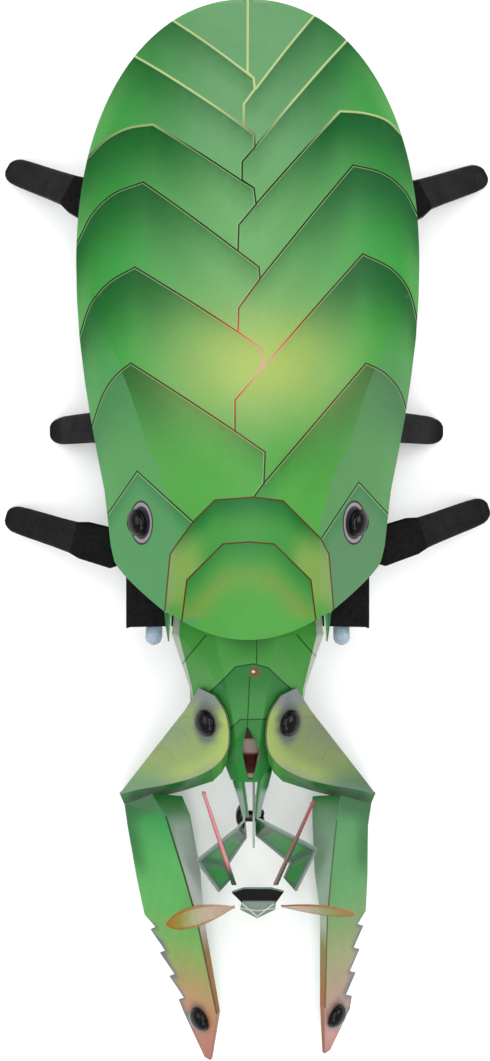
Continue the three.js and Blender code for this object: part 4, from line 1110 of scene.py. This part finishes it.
def add_rivets(material, claw_heights):
    for name, side in SIDES.items():
        eye = (side * 27.4, 6.6)
        normal = surface_normal(shell_height, *eye, step=0.6)
        add_rivet(f"{name}_eye_rivet", "chassis", (*eye, shell_height(*eye)), normal, TAB_GAP + SHEET,
                  material)
        seat = (side * SHOULDER[0], SHOULDER[1], SHOULDER[2])
        axis = Vector((side * ARM_SLOPE[0], -ARM_SLOPE[1], 1)).normalized()
        add_rivet(f"{name}_shoulder_rivet", "chassis", seat, axis, FOLD_GAP + SHEET, material)
        out, y = CLAW_RIVETS[side]
        height = claw_heights[side]
        normal = surface_normal(height, side * out, y, step=0.3)
        add_rivet(f"{name}_claw_rivet", f"{name}_forearm", (side * out, y, height(side * out, y)),
                  normal, SHEET,
                  material)
    seat = (MOUTH[0] - SHEET / 2 - FOLD_GAP, MOUTH[1], MOUTH[2])
    add_rivet("mouth_rivet", "chassis", seat, (-1, 0, 0), 2 * FOLD_GAP + 1.2 * SHEET, material)


# ---------------------------------------------------------------- legs
HIP_HEIGHT = 21.5
# hip place, heading in degrees back from straight out, reach of the foot and length of the shank
LEGS = {
    "left_front": (LEFT, 25, -3, 15.5, 43.3, 21), "left_middle": (LEFT, 25, 32, 0, 29.6, 16),
    "left_rear": (LEFT, 25, 82, 29, 47.2, 21), "right_front": (RIGHT, 25, -3, 18.5, 43.9, 21),
    "right_middle": (RIGHT, 25, 32, 0, 29, 16), "right_rear": (RIGHT, 25, 82, 27.5, 46, 21),
}
LEG_SHEET = 0.9
LIFT_OFFSET = 5


def leg_stations(reach, shank):
    """Rows along a leg: reach, height of the back, its half width, half width and drop of the walls."""
    knee = reach - shank
    return [(LIFT_OFFSET + 2.2, HIP_HEIGHT + 1.6, 2.2, 2.6, 2.2),
            (LIFT_OFFSET + 4.0, HIP_HEIGHT + 2.6, 3.9, 4.5, 3.4),
            (LIFT_OFFSET + 5.2, HIP_HEIGHT + 2.9, 4.7, 5.3, 3.6),
            (knee - 3.4, HIP_HEIGHT + 3.2, 4.4, 5.0, 3.6),
            (knee - 0.6, HIP_HEIGHT + 3.3, 3.6, 4.2, 3.2),
            (knee + shank * 0.2, HIP_HEIGHT * 0.9, 3.4, 4.0, 2.8),
            (knee + shank * 0.5, HIP_HEIGHT / 2 + 1.2, 3.3, 3.9, 2.3),
            (knee + shank * 0.72, 6.8, 3.2, 3.8, 1.9),
            (reach - 3.0, 3.9, 3.1, 3.6, 1.5), (reach - 1.5, 2.3, 2.7, 3.1, 1.1),
            (reach - 0.5, 1.3, 2.0, 2.3, 0.7), (reach, 0.95, 1.1, 1.3, 0.35)]


def leg_shapes(side, x, y, heading, reach, shank):
    """A leg folded from black sheet: a flat back with bevelled edges, two walls and an ear."""
    angle = math.radians(heading)
    out = np.array((side * math.cos(angle), math.sin(angle), 0))
    across = np.cross((0, 0, 1), out)
    hip = np.array((side * x, y, 0))
    rows = []
    for along_leg, height, back, wall, drop in leg_stations(reach, shank):
        section = [(-wall, -drop), (-wall, -0.55), (-back, 0), (0, 0.12), (back, 0), (wall, -0.55),
                   (wall, -drop)]
        lowest = LEG_SHEET * 1.05
        rows.append([hip + out * along_leg + across * w + np.array((0, 0, max(height + z, lowest)))
                     for w, z in section])
    grid = np.array(rows)
    normals = np.cross(np.gradient(grid, axis=1), np.gradient(grid, axis=0))
    normals /= np.maximum(np.linalg.norm(normals, axis=2), 1e-9)[..., None]
    if normals[..., 2].sum() < 0:
        normals = -normals
    inner = grid - normals * LEG_SHEET
    inner[..., 2] = np.maximum(inner[..., 2], 0.0)
    count, width = grid.shape[:2]
    verts = np.vstack([grid.reshape(-1, 3), inner.reshape(-1, 3)])
    size = count * width
    faces = []
    for r in range(count - 1):
        for c in range(width - 1):
            a = r * width + c
            faces.append((a, a + 1, a + width + 1, a + width))
            faces.append((size + a, size + a + width, size + a + width + 1, size + a + 1))
        for c in (0, width - 1):
            a = r * width + c
            faces.append((a, a + width, size + a + width, size + a))
    for r in (0, count - 1):
        for c in range(width - 1):
            a = r * width + c
            faces.append((a, a + 1, size + a + 1, size + a))
    pin = hip + out * LIFT_OFFSET + np.array((0, 0, HIP_HEIGHT))
    ear, ear_faces = ring_shape([(1.7, -1.5), (1.9, -1.3), (1.9, 1.3), (1.7, 1.5)], 24)
    ear = [pin + out * a + np.array((0, 0, b)) + across * c for a, b, c in ear]
    web, web_faces = block_shape((5, 2.4, 2.4))
    web = [pin + out * (a + 2.6) + across * b + np.array((0, 0, c + 0.2)) for a, b, c in web]
    return [(verts, faces), (ear, ear_faces), (web, web_faces)]


def block_shape(size, chamfer=0.2):
    """A box with chamfered edges, about the origin."""
    points, faces = [], []
    half = [s / 2 for s in size]
    corners = {}
    for sx in (-1, 1):
        for sy in (-1, 1):
            for sz in (-1, 1):
                for axis in range(3):
                    p = [s * (h - chamfer) for s, h in zip((sx, sy, sz), half)]
                    p[axis] = (sx, sy, sz)[axis] * half[axis]
                    corners[(sx, sy, sz, axis)] = len(points)
                    points.append(p)
    for axis in range(3):
        b, c = [a for a in range(3) if a != axis]
        for s in (-1, 1):
            ring = []
            for u, v in ((-1, -1), (1, -1), (1, 1), (-1, 1)):
                sign = [0, 0, 0]
                sign[axis], sign[b], sign[c] = s, u, v
                ring.append(corners[(*sign, axis)])
            faces.append(tuple(ring))
    for b, c, axis in ((0, 1, 2), (0, 2, 1), (1, 2, 0)):
        for u in (-1, 1):
            for v in (-1, 1):
                quad = []
                for s in (-1, 1):
                    sign = [0, 0, 0]
                    sign[b], sign[c], sign[axis] = u, v, s
                    quad.append([corners[(*sign, b)], corners[(*sign, c)]])
                faces.append((quad[0][0], quad[0][1], quad[1][1], quad[1][0]))
    for sx in (-1, 1):
        for sy in (-1, 1):
            for sz in (-1, 1):
                faces.append(tuple(corners[(sx, sy, sz, axis)] for axis in range(3)))
    return points, faces


def add_legs(material):
    for name, spec in LEGS.items():
        leg = solid_piece(f"{name}_leg_fold", leg_shapes(*spec), material, crease=18)
        settle(leg, f"{name}_leg", "black_sheet", f"{name}_leg")


# ---------------------------------------------------------------- head
# rows of (top edge, low edge) of a mandible band, from the mouth rivet to the face
BANDS = {
    "left": [((-0.5, -66, 26), (-0.5, -66, 17.4)), ((-0.7, -71.6, 26.2), (-0.5, -73, 17)),
             ((-2.6, -73.6, 26.3), (-0.2, -77.6, 16.7)), ((-13.3, -82.7, 22.4), (-5.2, -85.6, 13.6)),
             ((-7.4, -91.4, 19.6), (-4.2, -89, 13.4))],
    "right": [((2, -66, 26), (2, -66, 17.4)), ((2.3, -71.0, 26.2), (2, -73, 17)),
              ((5.2, -72.4, 26.3), (2.1, -77, 16.7)), ((18.2, -79.6, 22.4), (11.2, -85, 13.8)),
              ((12.6, -91.2, 19.6), (9.6, -88.8, 13.4))],
}
CLEAR_INK = {"green": (*printed("#48a255"), 0.96), "deep": (*printed("#1c6a2c"), 0.96),
             "clear": (*printed("#b9c6c0"), 0.3), "grey": (*printed("#6c7a78"), 0.72),
             "edge": (*printed("#9fb0a8"), 0.9), "seam": (*printed("#1e3c2c"), 0.95)}


def mix_ink(a, b, share):
    return tuple(mix(np.array(CLEAR_INK[a] if isinstance(a, str) else a),
                     np.array(CLEAR_INK[b] if isinstance(b, str) else b), share))


def band_sheet(name, rows, materials, body, node, thickness=SHEET, cells=(7, 10)):
    """A clear band with a printed green middle, a grey fringe and pale edges, over two edges of points."""
    fine = []
    for upper, lower in zip(rows, rows[1:]):
        for i in range(cells[0]):
            fine.append([between(a, b, i / cells[0]) for a, b in zip(upper, lower)])
    fine.append(list(rows[-1]))
    grid = np.array([[between(row[0], row[1], j / cells[1]) for j in range(cells[1] + 1)] for row in fine])
    count, width = grid.shape[:2]
    points = grid.reshape(-1, 3)
    shares = [(r / (count - 1), c / (width - 1)) for r in range(count) for c in range(width)]
    faces = [[r * width + c, r * width + c + 1, (r + 1) * width + c + 1, (r + 1) * width + c]
             for r in range(count - 1) for c in range(width - 1)]
    normals = np.cross(np.gradient(grid, axis=1), np.gradient(grid, axis=0)).reshape(-1, 3)
    normals /= np.maximum(np.linalg.norm(normals, axis=1), 1e-9)[:, None]
    kept_paint = {}
    for face in faces:
        middle = points[face].mean(0)
        kept_paint[tuple(np.round(middle, 4))] = (sum(shares[i][0] for i in face) / 4,
                                                  sum(shares[i][1] for i in face) / 4)

    def paint(x, y, z, middle):
        length, across = kept_paint[tuple(np.round(middle, 4))]
        rim = min(across, 1 - across)
        section = length * (len(rows) - 1) % 1
        green = ease(0.08, 0.22, rim) * ease(0.0, 0.2, section) * ease(1.0, 0.85, section)
        colour = mix_ink("grey", "green", green)
        colour = mix_ink(colour, "clear", ease(0.3, 0.1, section) * 0.35)
        if rim < 0.08:
            return mix_ink(colour, "edge", 0.75)
        return colour

    band = sheet_mesh(name, points, faces, normals, paint, materials, thickness, 14)
    settle(band, body, "clear_sheet", node)
    return band


MOUTH_LINK = [((-55, 29.5), (-55, 19)), ((-62, 28.5), (-62, 16.5)), ((-78.5, 27), (-78.5, 17))]
FACE = [(-4.2, -91.8), (-1.6, -94.8), (-2, -97), (2.6, -99.8), (7.4, -97), (7.6, -94.8), (9.6, -91.6),
        (6.2, -90.6),
        (-1, -90.6)]
FEELERS = {"left": ((-3.4, -95.6, 19), (-21.2, -97.6, 31), 2.8, 0),
           "right": ((9, -95.6, 19), (27.6, -95, 31), 2.6, 52)}
ANTENNAE = {"left": ((-3.6, -89.4, 21), (-11.4, -63, 34)), "right": ((7.4, -89.4, 21), (16.9, -65.5, 34))}
FACE_INK = {"dark": (*printed("#03120c"), 1.0), "clear": (*printed("#c9d8cc"), 0.35),
            "line": (*printed("#e2ece4"), 0.9), "seam": (*printed("#2a4a3a"), 1.0)}
FEELER_INK = {"left": [(0, "#d8b498"), (0.4, "#dcc8b4"), (0.62, "#b8c08c"), (0.8, "#a99a48"),
                       (1, "#b07a3a")],
              "right": [(0, "#e8dccd"), (0.4, "#dfc6ac"), (0.6, "#9fae66"), (0.85, "#b89a5c"),
                        (1, "#b58a50")]}


def face_height(x, y):
    return 19 + 0.7 * (y + 92)


def face_ink(x, y, z, line):
    if line >= 0:
        return FACE_INK["line"] if line < 2 else FACE_INK["seam"]
    chin = -96.2 - 0.0 * x
    if y > chin + 1.4:
        return FACE_INK["dark"]
    return FACE_INK["clear"]


def add_face(materials):
    outline = FACE if area_of(FACE) > 0 else FACE[::-1]
    strips = [(subdivide([(-1.4, -95.2), (2.6, -99.2), (7.0, -95.2)], 1), 0.4),
              (subdivide([(-1.9, -96.6), (2.6, -97.4), (7.3, -96.6)], 1), 0.3)]
    face = printed_sheet("face_plate_sheet", outline, face_height, face_ink, materials, strips=strips,
                         grid=1.0, thickness=SHEET * 1.1)
    settle(face, "head", "clear_sheet", "face_plate")


def area_of(loop):
    return sum(x0 * y1 - x1 * y0 for (x0, y0), (x1, y1) in zip(loop, loop[1:] + loop[:1]))


def strip_piece(name, middles, halves, sideways, paint, materials, thickness, columns=8):
    """A thin strip along a line of middles, with a half width at each and a colour by its two shares."""
    ways = np.linspace(-1, 1, columns + 1)
    grid = np.array([[np.array(m) + np.array(sideways) * half * way for way in ways]
                     for m, half in zip(middles, halves)])
    count, width = grid.shape[:2]
    points = grid.reshape(-1, 3)
    faces = [[r * width + c, r * width + c + 1, (r + 1) * width + c + 1, (r + 1) * width + c]
             for r in range(count - 1) for c in range(width - 1)]
    normals = np.cross(np.gradient(grid, axis=1), np.gradient(grid, axis=0)).reshape(-1, 3)
    normals /= np.maximum(np.linalg.norm(normals, axis=1), 1e-9)[:, None]
    if normals[:, 2].sum() < 0:
        normals = -normals
        faces = [face[::-1] for face in faces]
    where = {}
    for face in faces:
        place = tuple(np.round(points[face].mean(0), 4))
        along_share = np.mean([i // width for i in face]) / (count - 1)
        across_share = np.mean([i % width for i in face]) / (width - 1)
        where[place] = (along_share, across_share)
    return sheet_mesh(name, points, faces, normals,
                      lambda x, y, z, middle: paint(*where[tuple(np.round(middle, 4))]), materials,
                      thickness, 20)


def add_feeler(name, materials):
    root, tip, half_width, roll = FEELERS[name]
    root, tip = np.array(root, float), np.array(tip, float)
    way = Vector(tip - root).normalized()
    sideways = Matrix.Rotation(math.radians(roll), 3, way) @ Vector((0, 1, 0))
    steps = 28
    shares = [i / steps for i in range(steps + 1)]
    middles = [root + (tip - root) * share for share in shares]
    halves = [max(0.35, half_width * math.sin(math.pi * share ** 1.4) ** 0.6) for share in shares]
    table = FEELER_INK[name]
    rim = printed("#b5652c")

    def paint(share, across):
        colour = np.array([np.interp(share, [t[0] for t in table], [printed(t[1])[i] for t in table])
                           for i in range(3)])
        colour = mix(colour, rim, 0.8 * ease(0.3, 0.5, abs(across - 0.5)) * ease(0.05, 0.5, share))
        vein = 0.5 + 0.5 * math.sin(46 * share + 9 * abs(across - 0.5))
        colour = colour * (1 - 0.06 * vein)
        return (*colour, 0.9 if share > 0.5 else 0.8)

    feeler = strip_piece(f"{name}_feeler_leaf", middles, halves, tuple(sideways), paint, materials,
                         SHEET * 0.8)
    settle(feeler, "head", "feeler_print", f"{name}_feeler")


def add_antenna(name, materials):
    root, tip = (np.array(p, float) for p in ANTENNAE[name])
    steps = 44
    middles = [root + (tip - root) * i / steps for i in range(steps + 1)]
    halves = [0.6 - 0.25 * i / steps + (0.08 if i % 2 else 0.0) for i in range(steps + 1)]
    halves[-2] = 0.55
    pale, red, dark = printed("#e39aa0"), printed("#b8434a"), printed("#3c5a44")

    def paint(share, across):
        if name == "left":
            colour = mix(dark, pale if across > 0.3 else red, ease(0.1, 0.3, share))
        else:
            colour = mix(dark, red, ease(0.45, 0.9, share)) if across > 0.45 else mix(dark, pale, 0.35)
        return (*colour, 1.0)

    antenna = strip_piece(f"{name}_antenna_strip", middles, halves, (1, 0, 0), paint, materials, SHEET, 4)
    settle(antenna, "head", "antenna_print", f"{name}_antenna")


def add_head(clear, feeler, antenna):
    for name, rows in BANDS.items():
        if name == "left":
            rows = [row[::-1] for row in rows]
        band_sheet(f"{name}_mandible_band", [row for row in rows], clear, "head", f"{name}_mandible")
        add_feeler(name, feeler)
        add_antenna(name, antenna)
    half = SHEET / 2
    link = [tuple((MOUTH[0] + half, y, z) for y, z in row) for row in MOUTH_LINK]
    band_sheet("mouth_link_strip", link, clear, "chassis", "mouth_link")
    add_face(clear)


# ---------------------------------------------------------------- small folded panels
# under panel of an upper arm: points along the leaf's edge, then points along its own lower edge
ELBOW_TOP = [(5.0, -51.0), (6.4, -53.4), (9.0, -56.0), (15.0, -59.7), (24.0, -63.0), (29.5, -64.8),
             (34.9, -67.0)]
ELBOW_LOW = [(5.2, -54.6, 37.4), (6.6, -57.6, 35), (9.0, -60.4, 31.5), (17.4, -65.6, 12.5),
             (23.2, -66.8, 14.5),
             (28.0, -68.4, 9.5), (33.9, -70.6, 3.2)]
# inks of the under panel, light to dark; the dark is painted shade under the leaf's edge
ELBOW_INK = [printed("#4c9c3c"), printed("#2c7f34"), printed("#0d6a2c")]
TONGUES = {
    "left": [((-4.6, -55.6, 32.4), (-1.6, -55.2, 35.6)), ((-4.4, -58.4, 31.6), (-1.2, -58.4, 34.6)),
             ((-3.6, -61.6, 30.4), (-0.9, -61.6, 33.0)), ((-2.7, -64.6, 29.2), (-0.5, -64.6, 31.4)),
             ((-2.0, -67.4, 28.2), (-0.2, -67.4, 30.0)), ((-1.4, -70.2, 27.6), (0.0, -70.2, 29.0))],
    "right": [((6.4, -55.6, 32.4), (3.2, -55.2, 35.6)), ((6.2, -58.4, 31.6), (2.9, -58.4, 34.6)),
              ((5.4, -61.6, 30.4), (2.6, -61.6, 33.0)), ((4.5, -64.6, 29.2), (2.3, -64.6, 31.4)),
              ((3.8, -67.4, 28.2), (2.1, -67.4, 30.0)), ((3.4, -70.2, 27.6), (2.0, -70.2, 29.0))],
}


def fine_rows(rows, along_count, across_count):
    fine = []
    for upper, lower in zip(rows, rows[1:]):
        for i in range(along_count):
            fine.append([between(a, b, i / along_count) for a, b in zip(upper, lower)])
    fine.append([tuple(p) for p in rows[-1]])
    shares = [j / across_count for j in range(across_count + 1)]
    return np.array([[between(row[0], row[1], share) for share in shares] for row in fine])


def facing_up(grid, faces):
    """Outward normals that look up on the whole, with faces wound to match."""
    normals = np.cross(np.gradient(grid, axis=1), np.gradient(grid, axis=0)).reshape(-1, 3)
    normals /= np.maximum(np.linalg.norm(normals, axis=1), 1e-9)[:, None]
    if normals[:, 2].sum() < 0:
        return -normals, [face[::-1] for face in faces]
    return normals, faces


def panel_piece(name, rows, paint, materials, thickness=SHEET, along_count=4, across_count=6, crease=16):
    grid = fine_rows(rows, along_count, across_count)
    count, width = grid.shape[:2]
    faces = [[r * width + c, r * width + c + 1, (r + 1) * width + c + 1, (r + 1) * width + c]
             for r in range(count - 1) for c in range(width - 1)]
    normals, faces = facing_up(grid, faces)
    points = grid.reshape(-1, 3)
    shares = {}
    for face in faces:
        spot = tuple(np.round(points[face].mean(0), 4))
        shares[spot] = (np.mean([i // width for i in face]) / (count - 1),
                        np.mean([i % width for i in face]) / (width - 1))
    return sheet_mesh(name, points, faces, normals,
                      lambda x, y, z, middle: paint(*shares[tuple(np.round(middle, 4))]), materials,
                      thickness, crease)


def add_elbow(side, name, materials):
    height = leaf_height(side)
    rows = []
    for (out, y), low in zip(ELBOW_TOP, ELBOW_LOW):
        rows.append([(side * out, y, height(side * out, y) - 1.0), (side * low[0], low[1], low[2])])

    # painted shade: the panel darkens towards its lower edge and towards the arm's end, under the leaf
    def paint(share, down):
        light, middle, dark = ELBOW_INK
        return opaque(mix(mix(light, middle, ease(0.2, 0.5, share)), dark,
                          ease(0.1, 0.7, down) * ease(0.4, 0.6, share)))

    panel = panel_piece(f"{name}_elbow_panel", rows, paint, materials, thickness=SHEET * 0.8)
    settle(panel, f"{name}_arm", "printed_arm")


def add_tongues(materials):
    for name, rows in TONGUES.items():
        def paint(share, across):
            colour = mix_ink("deep", "green", ease(0.2, 0.7, across))
            colour = mix_ink(colour, "edge", ease(0.42, 0.55, share) * ease(0.8, 0.6, across))
            return mix_ink(colour, "seam", ease(0.8, 0.95, across) * 0.8)

        tongue = panel_piece(f"{name}_neck_tongue", rows, paint, materials, thickness=SHEET * 0.7)
        settle(tongue, "chassis", "clear_sheet")


def add_neck_lining(materials):
    """The brown and pale lining that shows through the open slot of the neck."""
    stations = [(-43.2, 39.5, 6.5), (-47.6, 37.6, 6.5), (-52, 35.8, 5.8), (-56, 33.4, 4.8),
                (-60.4, 31.2, 3.7)]
    rows = [[(-0.3 - half, y, z), (half - 0.3, y, z)] for y, z, half in stations]
    brown, pale = printed("#55200f"), printed("#cdb3a6")

    def paint(share, across):
        band = ease(0.3, 0.34, share) * ease(0.56, 0.52, share)
        return opaque(mix(brown, pale, band + ease(0.86, 0.9, share)))

    lining = panel_piece("neck_lining", rows, paint, materials, thickness=SHEET * 0.6, along_count=8)
    settle(lining, "chassis", "printed_shell")


def add_corner_tabs(materials):
    for name, side in SIDES.items():
        rows = [[(side * 20.9, -15.9, 47.6), (side * 19.2, -15.9, 48.6)],
                [(side * 20.7, -19.4, 44.4), (side * 19.6, -19.4, 45.8)],
                [(side * 20.3, -23.6, 40.6), (side * 20.0, -23.6, 41.2)]]

        def paint(share, across):
            return opaque(mix(INK["arch_dark"], INK["front"], 0.5 * ease(0.3, 0.9, across)))

        tab = panel_piece(f"{name}_corner_tab", rows, paint, materials, thickness=SHEET * 0.8)
        settle(tab, "chassis", "printed_shell")


# ---------------------------------------------------------------- materials of the bare CAD parts
def dress_nodes(materials):
    """Gives every CAD node its own procedural finish."""
    for name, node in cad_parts.items():
        if "gear" in name and "plate" not in name:
            finish = materials["gear"]
        elif name.endswith("pinion"):
            finish = materials["brass"]
        elif name.endswith("motor") or name == "usb_inlet":
            finish = materials["steel"]
        elif name.endswith("lens"):
            finish = materials["lens"]
        elif name == "amber_led":
            finish = materials["amber"]
        elif name == "circuit_board":
            finish = materials["board"]
        elif name == "battery_cell":
            finish = materials["foil"]
        elif name.endswith("gear_plate") or name in ("electronics_housing", "power_button"):
            finish = materials["housing"]
        else:
            finish = materials["black"]
        for slot in node.material_slots:
            slot.material = finish


# ---------------------------------------------------------------- main
def make_materials():
    edge = plain_material("cut_edge", "#dfe6d6", 0.5, grain=0.03)
    back = plain_material("sheet_back", "#7da07c", 0.45, grain=0.04)
    dark_edge = plain_material("arm_edge", "#4a5638", 0.5, grain=0.05)
    return {
        "shell": [print_material("shell_print"), back, edge],
        "arm": [print_material("arm_print"), back, dark_edge],
        "neck": [print_material("neck_print"), back, dark_edge],
        "clear": [print_material("clear_print", 0.22, 0.05, alpha=True),
                  plain_material("clear_back", "#5f7a68", 0.2),
                  plain_material("clear_edge", "#6f8478", 0.3)],
        "feeler": [print_material("feeler_ink", 0.35, alpha=True),
                   plain_material("feeler_back", "#d9b795", 0.4),
                   plain_material("feeler_edge", "#9a6a3c", 0.4)],
        "antenna": [print_material("antenna_ink", 0.3), plain_material("antenna_back", "#4a6a50", 0.4),
                    plain_material("antenna_edge", "#a8474c", 0.4)],
        "black": plain_material("black_sheet", "#050507", 0.55, grain=0.1, bump=0.12, specular=0.08),
        "gear": plain_material("gear_nylon", "#d9d6cb", 0.45, grain=0.03, scale=1400),
        "brass": plain_material("pinion_brass", "#b9924a", 0.3, metallic=1.0, grain=0.05, scale=1600),
        "steel": plain_material("motor_steel", "#b0b3b8", 0.32, metallic=1.0, grain=0.05, scale=500),
        "lens": plain_material("lens_plastic", "#a9bccb", 0.12, grain=0.02, scale=700, transmission=0.35),
        "amber": plain_material("amber_plastic", "#ffab3d", 0.2, grain=0.02, transmission=0.3,
                                emission=1.5),
        "board": plain_material("board_mask", "#14532c", 0.35, grain=0.12, scale=2500),
        "foil": plain_material("cell_foil", "#9ca3aa", 0.35, metallic=0.6, grain=0.06, scale=600),
        "housing": plain_material("housing_black", "#17181b", 0.6, grain=0.1, scale=1800, specular=0.3),
        "rivet": plain_material("rivet_gloss", "#020203", 0.1, coat=0.0, grain=0.02, bump=0.01,
                                specular=0.2),
    }


add_camera()
MATERIALS = make_materials()
add_studio()
dress_nodes(MATERIALS)
add_carapace(MATERIALS["shell"])
add_corner_tabs(MATERIALS["shell"])
add_tongues(MATERIALS["clear"])
add_neck_lining(MATERIALS["shell"])
add_neck(MATERIALS["neck"])
claw_heights = {}
for name, side in SIDES.items():
    add_shoulder(side, name, MATERIALS["arm"])
    add_elbow(side, name, MATERIALS["arm"])
    claw_heights[side] = add_forearm(side, name, MATERIALS["arm"])
add_rivets(MATERIALS["rivet"], claw_heights)
add_legs(MATERIALS["black"])
add_head(MATERIALS["clear"], MATERIALS["feeler"], MATERIALS["antenna"])
